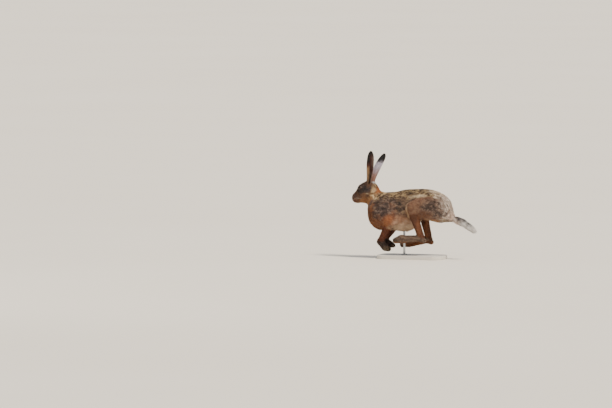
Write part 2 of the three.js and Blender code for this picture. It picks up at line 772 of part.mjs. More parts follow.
// A lock rooted at t that turns round the tail: three rings of three points, flat below, along the curve
function lock(t, turn, rise, length) {
  const start = alongTail(t);
  const rings = [0, LOCKS.bend, 1].map((u) => {
    const here = alongTail(t + (length * u) / TAIL.path.getLength());
    const out = here.up.multiplyScalar(Math.cos(turn)).addScaledVector(here.side, Math.sin(turn));
    const across = here.along.clone().cross(out);
    const height = start.radius - LOCKS.sunk + (LOCKS.sunk + rise) * Math.sin((u * Math.PI) / 2);
    const narrowed = height * (1 - LOCKS.close * u * t);
    const middle = here.middle.clone().addScaledVector(out, narrowed);
    const wide = (LOCKS.overlap * height * Math.PI * (1 - u ** LOCKS.blunt)) / LOCKS.around + LOCKS.tip;
    const deep = THREE.MathUtils.lerp(LOCKS.thick / 2, LOCKS.tip, u);
    return [
      middle.clone().addScaledVector(across, wide).addScaledVector(out, -deep),
      middle.clone().addScaledVector(out, deep),
      middle.clone().addScaledVector(across, -wide).addScaledVector(out, -deep),
    ];
  });
  return solid(loft(rings, 2));
}

function tailSolid() {
  const slim = solid(surface(melt(10, core, tail), [176, -40, 105], [300, 40, 215], 8));
  const made = [slim.intersect(tailPlane(0))];
  LOCKS.rows.forEach(([t, rise, length], row) => {
    for (let k = 0; k < LOCKS.around; k++) {
      const turn = ((k + (row % 2) / 2) / LOCKS.around) * 2 * Math.PI + LOCKS.spread * draw();
      made.push(lock(t, turn, rise, length * (1 + LOCKS.spread * draw())));
    }
  });
  return largest(wasm.Manifold.union(made).intersect(tailPlane(0)));
}
node("tail", tailSolid(), COAT.tail);

// Claws: bent cones, one at each toe, their roots sunk in the toe

const CLAW = { fore: [6.5, 1.9], hind: [8, 2.3], sunk: 5, curve: 0.16, deeper: 1.25, room: 0.5 };

function claw(at, along, [length, radius], grow) {
  const height = length + CLAW.sunk + 2 * grow;
  const shape = new THREE.ConeGeometry(radius + grow, height, 6, 2).translate(0, height / 2 - grow, 0);
  const p = shape.attributes.position;
  for (let i = 0; i < p.count; i++) {
    const drop = (CLAW.curve * Math.max(p.getY(i), 0) ** 2) / length;
    p.setZ(i, p.getZ(i) * CLAW.deeper - drop);
  }
  const forward = along.clone().normalize();
  const up = vec(0, 0, 1).addScaledVector(forward, -forward.z).normalize();
  const turn = new THREE.Matrix4().makeBasis(forward.clone().cross(up), forward, up);
  const root = at.clone().addScaledVector(forward, -CLAW.sunk);
  return solid(shape, turn.setPosition(root));
}

// Limbs

const EACH_TOE = [-1.5, -0.5, 0.5, 1.5];

for (const [name] of SIDES) {
  const j = JOINTS[name];
  const r = regions[name];
  const whole = melt(10, core, limbs[name].hind, limbs[name].fore);
  const haunch = span([j.hip, j.knee, vec(174, j.hip.y * 1.5, 160)], 48);
  node("thigh_" + name, carve(whole, haunch, 15, [r.thigh], r.shank), COAT.leg);
  node("shank_" + name, carve(whole, span([j.knee, j.hock], 40), 10, [r.shank], r.foot), COAT.leg);
  const shoulder = span([j.shoulder, j.elbow, vec(-110, j.elbow.y, 270)], 40);
  node("upper_arm_" + name, carve(whole, shoulder, 12, [r.arm], r.forearm), COAT.leg);
  node("forearm_" + name, carve(whole, span([j.elbow, j.wrist], 34), 9, [r.forearm], r.paw), COAT.leg);

  let foot = carve(limbs[name].hind, span([j.hock, j.heel, j.toe], 34), 7.8, [r.foot]);
  let paw = carve(limbs[name].fore, span([j.wrist, j.knuckle, j.fingertip], 28), 6.4, [r.paw]);
  EACH_TOE.forEach((k, i) => {
    const hind = [toeTip(j, k), j.toe.clone().sub(j.ball), CLAW.hind];
    const fore = [fingerTip(j, k), j.fingertip.clone().sub(j.knuckle), CLAW.fore];
    foot = foot.subtract(claw(...hind, CLAW.room));
    paw = paw.subtract(claw(...fore, CLAW.room));
    node(`claw_hind_${name}_${i + 1}`, claw(...hind, 0), HORN);
    node(`claw_fore_${name}_${i + 1}`, claw(...fore, 0), HORN);
  });
  node("hind_foot_" + name, largest(foot), COAT.leg);
  node("fore_paw_" + name, largest(paw), COAT.leg);
}

export default group;
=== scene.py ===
import math

import bmesh
import bpy
import numpy as np
from mathutils import Matrix, Vector, noise
from mathutils.bvhtree import BVHTree
from mathutils.kdtree import KDTree


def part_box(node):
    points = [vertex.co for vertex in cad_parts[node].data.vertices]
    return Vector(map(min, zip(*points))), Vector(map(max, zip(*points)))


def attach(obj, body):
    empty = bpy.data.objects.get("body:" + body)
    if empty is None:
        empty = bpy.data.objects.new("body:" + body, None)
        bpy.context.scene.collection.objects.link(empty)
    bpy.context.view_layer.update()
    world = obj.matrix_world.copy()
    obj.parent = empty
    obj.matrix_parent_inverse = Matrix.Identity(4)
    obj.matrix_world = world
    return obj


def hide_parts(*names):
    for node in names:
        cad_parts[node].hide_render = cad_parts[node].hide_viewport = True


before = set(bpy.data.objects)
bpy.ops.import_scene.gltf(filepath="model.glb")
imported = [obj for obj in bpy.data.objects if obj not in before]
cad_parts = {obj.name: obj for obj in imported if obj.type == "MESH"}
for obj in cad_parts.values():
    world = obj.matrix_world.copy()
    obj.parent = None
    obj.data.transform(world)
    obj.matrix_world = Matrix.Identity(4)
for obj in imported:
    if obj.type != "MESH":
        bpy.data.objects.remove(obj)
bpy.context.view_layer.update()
MM = 0.001


# The body: one hide drawn over the whole form, from the nose to the tail's root and down to the toes.
# It is tanned skin, glued down without a seam that shows, and it lies under the coat by the fur's depth.
SKIN_CELL = 2.4 * MM
JOIN_SWELL = 0.35 * MM

# For each part of the body, the depth of the coat, the length, width and rise of a tuft, the distance
# between roots, all in mm, rounds of smoothing, and the way the hair lies (x is towards the tail, z up)
DEPTH, LENGTH, WIDTH, RISE, GAP, ROUNDS, HEADING = range(7)
BODY_PARTS = {
    "head": (2.0, 6.5, 0.70, 1.5, 1.02, 9, (0.87, 0.0, 0.40)),
    "neck": (4.5, 14.0, 1.15, 3.8, 1.35, 19, (0.85, 0.0, -0.45)),
    "torso": (5.5, 17.0, 1.35, 4.0, 1.66, 38, (0.95, 0.0, -0.26)),
    "tail": (0.5, 30.0, 1.45, 9.5, 0.86, 13, (0.88, 0.0, -0.47)),
    "thigh": (5.0, 15.0, 1.30, 3.6, 1.46, 25, (0.78, 0.0, -0.62)),
    "shank": (2.0, 8.2, 0.90, 2.1, 1.42, 9, (0.30, 0.0, -0.95)),
    "hind_foot": (0.9, 5.4, 0.80, 1.5, 1.44, 4, (-1.0, 0.0, -0.10)),
    "upper_arm": (4.0, 12.0, 1.25, 3.4, 1.55, 15, (0.75, 0.0, -0.66)),
    "forearm": (2.0, 7.8, 0.90, 2.1, 1.42, 9, (-0.35, 0.0, -0.94)),
    "fore_paw": (0.8, 5.2, 0.80, 1.6, 1.44, 4, (0.75, 0.0, -0.66)),
    "eye": (1.6, 3.0, 0.55, 0.4, 1.02, 3, (0.87, 0.0, 0.40)),
}
PART_NAMES = list(BODY_PARTS)


def part_of(node_name):
    """The body part that a node belongs to, or nothing for an ear, a claw or the stand."""
    return next((part for part in PART_NAMES if node_name.startswith(part)), None)


def merged_copy(bm, node_name, swell=0.0):
    """A node's surface with its loose triangles joined, swollen a little, added to a mesh."""
    piece = bmesh.new()
    piece.from_mesh(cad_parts[node_name].data)
    bmesh.ops.remove_doubles(piece, verts=piece.verts, dist=0.01 * MM)
    piece.normal_update()
    for v in piece.verts:
        v.co += v.normal * swell
    joined = bpy.data.meshes.new("joined")
    piece.to_mesh(joined)
    bm.from_mesh(joined)
    piece.free()
    bpy.data.meshes.remove(joined)


def new_piece(name, bm):
    """An object at the origin from a finished mesh."""
    mesh = bpy.data.meshes.new(name)
    bm.to_mesh(mesh)
    bm.free()
    made = bpy.data.objects.new(name, mesh)
    bpy.context.scene.collection.objects.link(made)
    return made


def apply_modifiers(piece):
    """Its modifiers made part of its mesh."""
    bpy.context.view_layer.update()
    shaped = piece.evaluated_get(bpy.context.evaluated_depsgraph_get())
    mesh = bpy.data.meshes.new_from_object(shaped)
    piece.modifiers.clear()
    piece.data = mesh
    mesh.name = piece.name


flesh = sorted(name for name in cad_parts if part_of(name))
body_form = bmesh.new()
for name in flesh:
    if name != "tail":
        merged_copy(body_form, name, JOIN_SWELL)

# The tail's own flesh is slim inside its long hair: distance back, height and radius along it, in mm
TAIL_FLESH = [(160, 190, 18), (180, 184, 13), (204, 176, 9), (236, 162, 7.5), (262, 146, 6), (276, 135, 3.5)]
TAIL_STEPS = 30
share = np.linspace(0, 1, TAIL_STEPS)
tail_rows = [np.interp(share, np.linspace(0, 1, len(TAIL_FLESH)), column) for column in zip(*TAIL_FLESH)]
for x, z, radius in zip(*tail_rows):
    bmesh.ops.create_icosphere(
        body_form, subdivisions=2, radius=radius * MM, matrix=Matrix.Translation(Vector((x, 0, z)) * MM)
    )

# The rod's socket in the belly is filled, as the hide closes round the rod
SOCKET_DEPTH = 8.5 * MM
PLUG_RADIUS = 0.6
PLUG_LONGER = 2 * MM
PLUG_SIDES = 24
rod_low, rod_high = (Vector(corner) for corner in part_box("stand_rod"))
plug_middle = (rod_low + rod_high) / 2
plug_middle.z = rod_high.z - SOCKET_DEPTH / 2
plug_radius = (rod_high.x - rod_low.x) * PLUG_RADIUS
bmesh.ops.create_cone(
    body_form,
    cap_ends=True,
    segments=PLUG_SIDES,
    radius1=plug_radius,
    radius2=plug_radius,
    depth=SOCKET_DEPTH + PLUG_LONGER,
    matrix=Matrix.Translation(plug_middle),
)
skin = new_piece("skin", body_form)
remesh = skin.modifiers.new("one hide", "REMESH")
remesh.mode = "VOXEL"
remesh.voxel_size = SKIN_CELL
remesh.adaptivity = 0.0
apply_modifiers(skin)

# The head's own places: distance back from the nose's tip, across, and up from the nose's line. The
# muzzle gets smaller faces, for its nostrils and lips.
NOSE = np.array([-278.0, 0.0, 260.0]) * MM
HEAD_PITCH = math.radians(30)
HEAD_BACK = np.array([math.cos(HEAD_PITCH), 0.0, math.sin(HEAD_PITCH)])
HEAD_UP = np.array([-math.sin(HEAD_PITCH), 0.0, math.cos(HEAD_PITCH)])
FINER_WITHIN = (46 * MM, 34 * MM)
MUZZLE_MIDDLE = {"back": 8, "down": 6}


def head_places(rows):
    """Rows of (back, across, up) in metres from the nose's tip."""
    away = rows - NOSE
    return np.stack([away @ HEAD_BACK, away[:, 1], away @ HEAD_UP], axis=1)


bm = bmesh.new()
bm.from_mesh(skin.data)
middle = Vector(NOSE) + Vector(HEAD_BACK) * MUZZLE_MIDDLE["back"] * MM
middle -= Vector(HEAD_UP) * MUZZLE_MIDDLE["down"] * MM
for reach in FINER_WITHIN:
    near = [face for face in bm.faces if (face.calc_center_median() - middle).length < reach]
    edges = list({edge for face in near for edge in face.edges})
    bmesh.ops.subdivide_edges(bm, edges=edges, cuts=1, use_grid_fill=True)
bm.to_mesh(skin.data)
bm.free()


def points_of(mesh):
    """A mesh's vertices as rows."""
    rows = np.empty(len(mesh.vertices) * 3)
    mesh.vertices.foreach_get("co", rows)
    return rows.reshape(-1, 3)


def move_points(mesh, rows):
    """The rows as the mesh's vertices."""
    mesh.vertices.foreach_set("co", rows.ravel())
    mesh.update()


def shade_smooth(mesh):
    """Every face of the mesh shaded as part of a round surface."""
    mesh.polygons.foreach_set("use_smooth", np.ones(len(mesh.polygons), dtype=bool))


def normals_of(mesh):
    """A mesh's vertex normals as rows."""
    rows = np.empty(len(mesh.vertices) * 3, dtype=np.float32)
    mesh.vertex_normals.foreach_get("vector", rows)
    return rows.reshape(-1, 3).astype(float)


def unit(rows):
    """Rows at length one."""
    return rows / np.maximum(np.linalg.norm(rows, axis=1, keepdims=True), 1e-9)


class Net:
    """The edges of a mesh, along which values are spread from a point to its neighbours."""

    def __init__(self, mesh):
        ends = np.empty(len(mesh.edges) * 2, dtype=np.int64)
        mesh.edges.foreach_get("vertices", ends)
        self.a, self.b = ends.reshape(-1, 2).T
        self.size = len(mesh.vertices)
        self.weigh(np.ones(len(self.a)))

    def weigh(self, weight):
        """How strongly each edge passes values on."""
        self.weight = weight
        self.total = np.bincount(self.a, weight, self.size) + np.bincount(self.b, weight, self.size)

    def mean(self, values):
        """The mean of each point's neighbours."""
        if values.ndim == 2:
            return np.stack([self.mean(column) for column in values.T], axis=1)
        near = np.bincount(self.a, self.weight * values[self.b], self.size)
        near += np.bincount(self.b, self.weight * values[self.a], self.size)
        return near / np.maximum(self.total, 1e-9)

    def spread(self, values, rounds):
        """The values after that many rounds of half a step towards the mean."""
        for _ in range(rounds):
            values = 0.5 * values + 0.5 * self.mean(values)
        return values


# The nearest node gives each point its body part, and shares fade into each other where parts meet
BLEND_ROUNDS = 8
wall_points, wall_faces, wall_parts = [], [], []
for name in flesh:
    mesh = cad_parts[name].data
    start = len(wall_points)
    wall_points += [v.co.copy() for v in mesh.vertices]
    wall_faces += [[start + i for i in p.vertices] for p in mesh.polygons]
    wall_parts += [PART_NAMES.index(part_of(name))] * len(mesh.polygons)
form_tree = BVHTree.FromPolygons(wall_points, wall_faces)
net = Net(skin.data)
nearest = [wall_parts[form_tree.find_nearest(Vector(p))[2]] for p in points_of(skin.data)]
shares = np.eye(len(PART_NAMES))[nearest]
shares = net.spread(shares, BLEND_ROUNDS)


def share_of(*parts):
    """How far each point of the skin belongs to these parts."""
    return shares[:, [PART_NAMES.index(part) for part in parts]].sum(axis=1)


def by_part(column):
    """A column of the table of body parts at each point of the skin."""
    return shares @ np.array([BODY_PARTS[part][column] for part in PART_NAMES], dtype=float)


# Smoothing that doesn't shrink: each round takes a step in and a slightly longer one out
SMOOTH_IN = 0.5
SMOOTH_OUT = -0.52
rounds_here = by_part(ROUNDS)
shape = points_of(skin.data)
for done in range(int(rounds_here.max())):
    active = (rounds_here > done)[:, None]
    for step in (SMOOTH_IN, SMOOTH_OUT):
        shape = np.where(active, shape + step * (net.mean(shape) - shape), shape)
move_points(skin.data, shape)

# The hair lies along the skin, a little outwards on each side, and its way changes softly
OUTWARD_ROUNDS = 3
SIDEWAYS = 0.10


def lie_on(normals, heading):
    """A heading laid flat on the surface."""
    return unit(heading - normals * np.sum(normals * heading, axis=1, keepdims=True))


outward = unit(net.spread(normals_of(skin.data), OUTWARD_ROUNDS))
heading = by_part(HEADING)
heading[:, 1] += SIDEWAYS * np.sign(shape[:, 1])
lie = lie_on(outward, net.spread(lie_on(outward, unit(heading)), BLEND_ROUNDS))

# The skin sinks below the solid's surface by the depth of the coat, which is thin on the muzzle
MUZZLE_DEPTH = 1.1 * MM
MUZZLE_FADE = (18 * MM, 48 * MM)


def ease(low, high, value):
    """0 below low, 1 above high, and a smooth way between."""
    t = np.clip((value - low) / (high - low), 0, 1)
    return t * t * (3 - 2 * t)


places = head_places(shape)
on_eyeball = share_of("eye")
on_head = share_of("head") + on_eyeball
short_here = on_head * (1 - ease(*MUZZLE_FADE, places[:, 0]))
coat_depth = by_part(DEPTH) * MM * (1 - short_here) + MUZZLE_DEPTH * short_here
shape = shape - outward * coat_depth[:, None]

# The lip line runs round the muzzle from its front, falling towards its corners; a cleft joins it to the
# nose, between two slits of nostrils. All in mm and degrees.
LIPS = {"middle": 17, "front": -14.5, "drop": 9, "corner": 100, "curve": 1.5, "half": 0.9, "deep": 1.5}
LIPS_END = {"turn": (86, 104), "back": (34, 40)}
CLEFT = {"low": (-15, -13), "high": (-1, 1), "half": 0.7, "deep": 1.3}
NOSTRIL = {"y": 5.2, "t": 1.2, "long": 3.2, "high": 1.1, "slope": 0.45, "deep": 2.4, "edge": (0.35, 1.5)}
NOSE_PAD = {"t": 0.0, "wide": 4.4, "high": 4.2, "edge": (0.7, 1.2)}
FRONT_FADE = (6, 11)
s_mm, y_mm, t_mm = (places / MM).T
round_muzzle = np.degrees(np.arctan2(np.abs(y_mm), LIPS["middle"] - s_mm))
lip_t = LIPS["front"] - LIPS["drop"] * np.clip(round_muzzle / LIPS["corner"], 0, 1) ** LIPS["curve"]
at_front = on_head * (1 - ease(*FRONT_FADE, s_mm))
lip_line = np.exp(-(((t_mm - lip_t) / LIPS["half"]) ** 2)) * on_head
lip_line *= (1 - ease(*LIPS_END["turn"], round_muzzle)) * (1 - ease(*LIPS_END["back"], s_mm))
cleft_line = np.exp(-((y_mm / CLEFT["half"]) ** 2)) * at_front
cleft_line *= ease(*CLEFT["low"], t_mm) * (1 - ease(*CLEFT["high"], t_mm))
slit_t = t_mm - NOSTRIL["t"] - NOSTRIL["slope"] * (np.abs(y_mm) - NOSTRIL["y"])
slit = ((np.abs(y_mm) - NOSTRIL["y"]) / NOSTRIL["long"]) ** 2 + (slit_t / NOSTRIL["high"]) ** 2
nostril = (1 - ease(*NOSTRIL["edge"], slit)) * at_front
pad = (y_mm / NOSE_PAD["wide"]) ** 2 + ((t_mm - NOSE_PAD["t"]) / NOSE_PAD["high"]) ** 2
nose_pad = (1 - ease(*NOSE_PAD["edge"], pad)) * at_front
pressed = LIPS["deep"] * lip_line + CLEFT["deep"] * cleft_line + NOSTRIL["deep"] * nostril
shape = shape - outward * np.minimum(pressed, NOSTRIL["deep"])[:, None] * MM

# The toes: clefts run back between the claws of each foot, and fade out at a distance from them. The skin
# is bare right at a claw, and its hair is short round it. All in mm.
TOES = range(1, 5)
TOE_CLEFT = {"half": 1.7, "deep": 3.2}
CLAW_SHORT = (2.5, 7.5)
CLAW_BARE = (0.5, 1.5)
FEET = {"hind_left": (16, 32), "hind_right": (16, 32), "fore_left": (11, 22), "fore_right": (11, 22)}
on_foot = share_of("hind_foot", "fore_paw")
toe_cleft = np.zeros(net.size)
claw_points = []
for foot, fading in FEET.items():
    boxes = [np.array(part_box(f"claw_{foot}_{i}")) for i in TOES]
    claw_points += [v.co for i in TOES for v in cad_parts[f"claw_{foot}_{i}"].data.vertices]
    claws = np.array([box.mean(axis=0) for box in boxes])
    claws = claws[np.argsort(claws[:, 1])]
    away = np.hypot(shape[:, 0] - claws[:, 0].mean(), shape[:, 2] - claws[:, 2].mean()) / MM
    for y in (claws[1:, 1] + claws[:-1, 1]) / 2:
        line = np.exp(-(((shape[:, 1] - y) / (TOE_CLEFT["half"] * MM)) ** 2))
        toe_cleft = np.maximum(toe_cleft, line * on_foot * (1 - ease(*fading, away)))
claw_tree = KDTree(len(claw_points))
for i, point in enumerate(claw_points):
    claw_tree.insert(point, i)
claw_tree.balance()
from_claw = np.array([claw_tree.find(Vector(point))[2] for point in shape]) / MM
near_claw = 1 - ease(*CLAW_SHORT, from_claw)
shape = shape - outward * (toe_cleft * TOE_CLEFT["deep"])[:, None] * MM
move_points(skin.data, shape)
shade_smooth(skin.data)

# The colours of the coat, patch by patch: ground colour, dark and pale ticks, and how strongly the ticks
# show. Each hair of a hare is banded, so ticks of the three lie side by side.
COATS = {
    "agouti back": ("70563f", "130d0b", "e2c79a", 1.0),
    "gold withers": ("9c7a56", "241a16", "ecd2a6", 1.0),
    "dark saddle": ("4a3a2e", "0f0b09", "d8bd92", 1.0),
    "cream streak": ("d3bc9a", "4d3b30", "f6e8cc", 0.8),
    # The shoulder and flank coats are painted shade: darker, and on the shoulder with the cool lilac cast of
    # shadow
    "shoulder in painted shade": ("55413b", "211918", "a18a7c", 1.0),
    "flank in painted shade": ("523f36", "211918", "a2866e", 1.0),
    "russet flank": ("bb9074", "8f6a55", "d8b89c", 0.35),
    "belly": ("e2c4a6", "c09c7e", "f6e4d0", 0.25),
    "russet chest": ("94603f", "62402a", "bd8b62", 0.5),
    "orange elbow": ("ae7148", "7a4a2b", "cd996c", 0.4),
    "elbow fold": ("7d4730", "57301f", "9c6242", 0.3),
    # The rump is paler than the coat and paler still on its top: partly its own colour, partly painted light
    # from behind
    "pale rump with painted light": ("d6c0b0", "5d4843", "fbf3ea", 1.0),
    "rump top with painted light": ("e0caae", "6e5849", "f8ecd8", 1.0),
    "brown thigh": ("957058", "664838", "b8957a", 0.6),
    "streaked thigh": ("59433a", "241b1a", "ac9280", 1.0),
    "low thigh": ("825a40", "573927", "a87f60", 0.4),
    "tan edge": ("b08a68", "8a664a", "ccac8c", 0.3),
    # A pale line down the front of the knee: painted highlight
    "knee painted highlight": ("d2b08a", "ab8662", "ecd6b8", 0.4),
    "shank": ("74492f", "4d2e1d", "99683f", 0.35),
    "orange shank": ("955f3c", "664024", "b88a60", 0.3),
    "foot": ("80695a", "3c2e28", "a9937f", 0.7),
    "toes": ("5f4f40", "33271f", "86735c", 0.5),
    "sole": ("9a6238", "6b4124", "bb8858", 0.3),
    "forearm": ("7a4326", "4b2817", "a66b3b", 0.35),
    "paw": ("4e3c34", "261d1a", "786554", 0.5),
    "paw toes": ("6b5a45", "3a2f26", "8d7b62", 0.5),
    "crown": ("2f231f", "100c0a", "6a5346", 0.7),
    "face": ("7d583c", "4e3624", "a88058", 0.5),
    "muzzle": ("634840", "3a2a25", "88695d", 0.4),
    "lips": ("7c4a30", "552f1e", "9e6a4a", 0.3),
    "chin": ("c9ae90", "a5876a", "e6d3bc", 0.3),
    "dark ear base": ("3c2f30", "1c1618", "7c675e", 0.6),
    "pale arc": ("dcc6a6", "a8896a", "f2e4cc", 0.3),
    # The nape's orange is partly its own colour and partly painted light from behind
    "orange nape with painted light": ("b8733f", "865028", "dba46c", 0.4),
    "nape spot": ("d8bd94", "a88a62", "ecd8b4", 0.3),
    "throat": ("b5804f", "8a5a38", "d2a678", 0.3),
    "white": ("f6f2ef", "ddd4cf", "fdfcfb", 0.3),
    "tail streak": ("35302f", "161315", "8d858a", 0.7),
    "tail root": ("dcc3b3", "b8988a", "efe0d6", 0.3),
}

# The ground coat of each body part, then the patches over it in order: part, coat, middle and radii in
# mm. Both sides of the animal carry the same patches, so y is the distance from its middle plane.
GROUND = {
    "head": "face",
    "neck": "gold withers",
    "torso": "agouti back",
    "tail": "white",
    "thigh": "brown thigh",
    "shank": "shank",
    "hind_foot": "foot",
    "upper_arm": "russet chest",
    "forearm": "forearm",
    "fore_paw": "paw",
    "eye": "crown",
}
PATCHES = [
    ("torso", "gold withers", (-180, 0, 285), (60, 50, 24)),
    ("torso", "dark saddle", (-10, 0, 302), (78, 40, 20)),
    ("torso", "russet flank", (-40, 60, 168), (96, 60, 40)),
    # Painted shade on the flank
    ("torso", "flank in painted shade", (-50, 65, 240), (96, 60, 44)),
    ("torso", "cream streak", (33, 48, 277), (46, 25, 8)),
    ("torso", "belly", (-28, 0, 134), (120, 90, 38)),
    # Painted light on the rump and on its top, and further down on the upper haunch
    ("torso", "pale rump with painted light", (170, 0, 240), (78, 90, 90)),
    ("torso", "rump top with painted light", (130, 0, 296), (58, 40, 16)),
    # Painted shade on the shoulder, and further down also on the upper arm and the side of the neck
    ("torso", "shoulder in painted shade", (-128, 60, 226), (70, 60, 52)),
    ("torso", "russet chest", (-176, 0, 190), (30, 70, 60)),
    ("torso", "russet chest", (-170, 0, 140), (70, 70, 30)),
    ("upper_arm", "shoulder in painted shade", (-128, 60, 226), (70, 60, 50)),
    ("upper_arm", "orange elbow", (-94, 50, 169), (26, 60, 28)),
    ("upper_arm", "elbow fold", (-66, 50, 172), (7, 60, 26)),
    ("neck", "russet chest", (-190, 0, 222), (40, 60, 34)),
    ("torso", "russet chest", (-186, 0, 230), (26, 44, 44)),
    # Orange nape, partly painted light
    ("neck", "orange nape with painted light", (-160, 0, 302), (15, 34, 20)),
    ("neck", "throat", (-214, 20, 253), (40, 40, 22)),
    ("neck", "shoulder in painted shade", (-165, 50, 240), (30, 40, 24)),
    ("neck", "nape spot", (-176, 22, 304), (11, 12, 10)),
    ("torso", "tail root", (186, 0, 188), (30, 60, 24)),
    ("thigh", "pale rump with painted light", (172, 60, 226), (50, 90, 76)),
    ("thigh", "streaked thigh", (104, 80, 236), (56, 60, 40)),
    ("thigh", "streaked thigh", (134, 75, 210), (40, 60, 28)),
    ("thigh", "low thigh", (71, 80, 203), (36, 60, 20)),
    ("thigh", "tan edge", (112, 70, 170), (60, 60, 12)),
    # Painted highlight down the front of the knee
    ("thigh", "knee painted highlight", (-6, 60, 225), (7, 60, 42)),
    ("shank", "orange shank", (50, 60, 120), (11, 60, 70)),
    ("hind_foot", "toes", (-68, 50, 78), (30, 60, 24)),
    ("hind_foot", "sole", (20, 60, 62), (110, 60, 16)),
    ("fore_paw", "paw toes", (-100, 40, 40), (24, 60, 16)),
    ("head", "throat", (-214, 20, 250), (34, 40, 16)),
    ("head", "crown", (-212, 0, 318), (50, 30, 26)),
    ("head", "crown", (-212, 24, 304), (40, 22, 17)),
    ("head", "crown", (-236, 18, 299), (26, 14, 20)),
    ("head", "muzzle", (-270, 0, 270), (28, 26, 18)),
    ("head", "lips", (-268, 0, 250), (28, 30, 12)),
    ("head", "chin", (-250, 0, 238), (30, 12, 8)),
    ("head", "dark ear base", (-189, 30, 297), (24, 18, 14)),
    ("head", "pale arc", (-187, 34, 283), (20, 14, 5)),
    ("head", "white", (-176, 0, 328), (14, 12, 14)),
    ("tail", "tail root", (175, 0, 180), (36, 40, 30)),
    ("tail", "tail streak", (206, 0, 185), (19, 11, 8)),
    ("tail", "tail streak", (226, 0, 176), (17, 11, 8)),
    ("tail", "tail streak", (250, 0, 163), (17, 10, 8)),
]
SOFT_EDGE = (0.45, 1.32)
# The patches' edges wander: size, seed and strength of the noise
RAGGED = [(18 * MM, 1, 0.24), (7 * MM, 2, 0.16)]


def linear(code):
    """A hex colour as the linear values that a shader works in."""
    parts = [int(code[i : i + 2], 16) / 255 for i in (0, 2, 4)]
    return [c / 12.92 if c <= 0.04045 else ((c + 0.055) / 1.055) ** 2.4 for c in parts]


def coat_row(name):
    """Ground, dark and pale colours and the strength of the ticks, as one row of ten numbers."""
    ground, dark, pale, ticks = COATS[name]
    return np.array(linear(ground) + linear(dark) + linear(pale) + [ticks])


def wander(rows, size, seed):
    """Soft noise between about -1 and 1, with patches of that size in metres."""
    shift = Vector((seed * 7.31, seed * 3.77, seed * 5.13))
    return np.array([noise.noise(Vector(p) / size + shift) for p in rows]) * 1.6


hide_colours = shares @ np.array([coat_row(GROUND[part]) for part in PART_NAMES])
ragged = sum(wander(shape, size, seed) * strength for size, seed, strength in RAGGED)
for part, coat_name, middle, radii in PATCHES:
    away = np.abs(shape * (1, 0, 1) - np.array(middle) * MM * (1, 0, 1))
    away[:, 1] = np.maximum(np.abs(np.abs(shape[:, 1]) - middle[1] * MM), 0)
    reach = np.linalg.norm(away / (np.array(radii) * MM), axis=1) + ragged
    amount = (1 - ease(*SOFT_EDGE, reach)) * shares[:, PART_NAMES.index(part)]
    hide_colours += amount[:, None] * (coat_row(coat_name) - hide_colours)

# Bare dark skin in the lips, the cleft and the nostrils, a browner pad between them, and dark clefts
# between the toes. No hair grows where the skin is bare.
BARE_REACH = 1.6
BARE = [
    (toe_cleft * 0.85, "2a1f1a"),
    (lip_line, "2a1a16"),
    (cleft_line, "241714"),
    (nose_pad * 0.7, "4a3833"),
    (nostril, "120c0b"),
]
for amount, code in BARE:
    amount = np.clip(amount, 0, 1)[:, None]
    hide_colours[:, 0:9] += amount * (np.array(linear(code) * 3) - hide_colours[:, 0:9])
bare_nose = BARE_REACH * (lip_line + cleft_line + nostril + nose_pad)
no_fur = np.clip(bare_nose + 1 - ease(*CLAW_BARE, from_claw), 0, 1)

# Ticks run along the hair: grains of chance, widened a little, then drawn out along the lie, with soft
# patches among them
TICKS = {"grains": 0.75, "patches": 1.5, "size": 4.2 * MM, "seed": 9}
WIDEN_ROUNDS = 1
DRAW_OUT = {"rounds": 6, "power": 6, "least": 0.02}
rng = np.random.default_rng(5)
grains = net.spread(rng.normal(size=net.size), WIDEN_ROUNDS)
along = unit(shape[net.b] - shape[net.a])
aligned = np.abs(np.sum(along * (lie[net.a] + lie[net.b]) * 0.5, axis=1))
net.weigh(aligned ** DRAW_OUT["power"] + DRAW_OUT["least"])
grains = net.spread(grains, DRAW_OUT["rounds"])
net.weigh(np.ones(len(net.a)))
ticks = TICKS["grains"] * grains / grains.std()
ticks = ticks + TICKS["patches"] * wander(shape, TICKS["size"], TICKS["seed"])

# Light sinks between real hairs, which the tufts are too coarse to show, so dark colours are deepened as
# painted shade, and the skin under the tufts is painted darker than they are, as the shade beneath them
DEEPEN = 1.18
TICK_EDGE = (0.1, 1.1)
UNDERFUR_SHADE = 0.8


def ticked(rows, grain):
    """The colour where the ticks have that value: dark below zero, pale above, with the darks deepened as
    painted shade.
    """
    amount = rows[:, 9]
    to_dark = (ease(*TICK_EDGE, -grain) * amount)[:, None]
    to_pale = (ease(*TICK_EDGE, grain) * amount)[:, None]
    shown = rows[:, 0:3]
    shown = shown + to_dark * (rows[:, 3:6] - shown)
    return (shown + to_pale * (rows[:, 6:9] - shown)) ** DEEPEN


def paint(mesh, colours):
    """A colour for each point, kept in the mesh as Coat."""
    layer = mesh.color_attributes.new("Coat", "FLOAT_COLOR", "POINT")
    layer.data.foreach_set("color", np.hstack([colours, np.ones((len(colours), 1))]).ravel())


# The skin's colours, darkened as painted shade under the tufts
paint(skin.data, ticked(hide_colours, ticks) * UNDERFUR_SHADE)


def new_finish(name):
    """A material with nothing in it yet."""
    made = bpy.data.materials.new(name)
    made.use_nodes = True
    made.node_tree.nodes.clear()
    return made


def add_node(finish, kind, inputs=None, **settings):
    """One node with its settings. An input is a value or the output of another node."""
    made = finish.node_tree.nodes.new(kind)
    for key, value in settings.items():
        setattr(made, key, value)
    for key, value in (inputs or {}).items():
        if isinstance(value, bpy.types.NodeSocket):
            finish.node_tree.links.new(value, made.inputs[key])
        else:
            made.inputs[key].default_value = value
    return made


# Hair of a hare: dry, with a faint gloss and a soft sheen. Hairs are 0.05 mm thick, too fine for the
# picture, so the grain is drawn twelve times coarser.
HAIR_GRAIN = 0.6 * MM


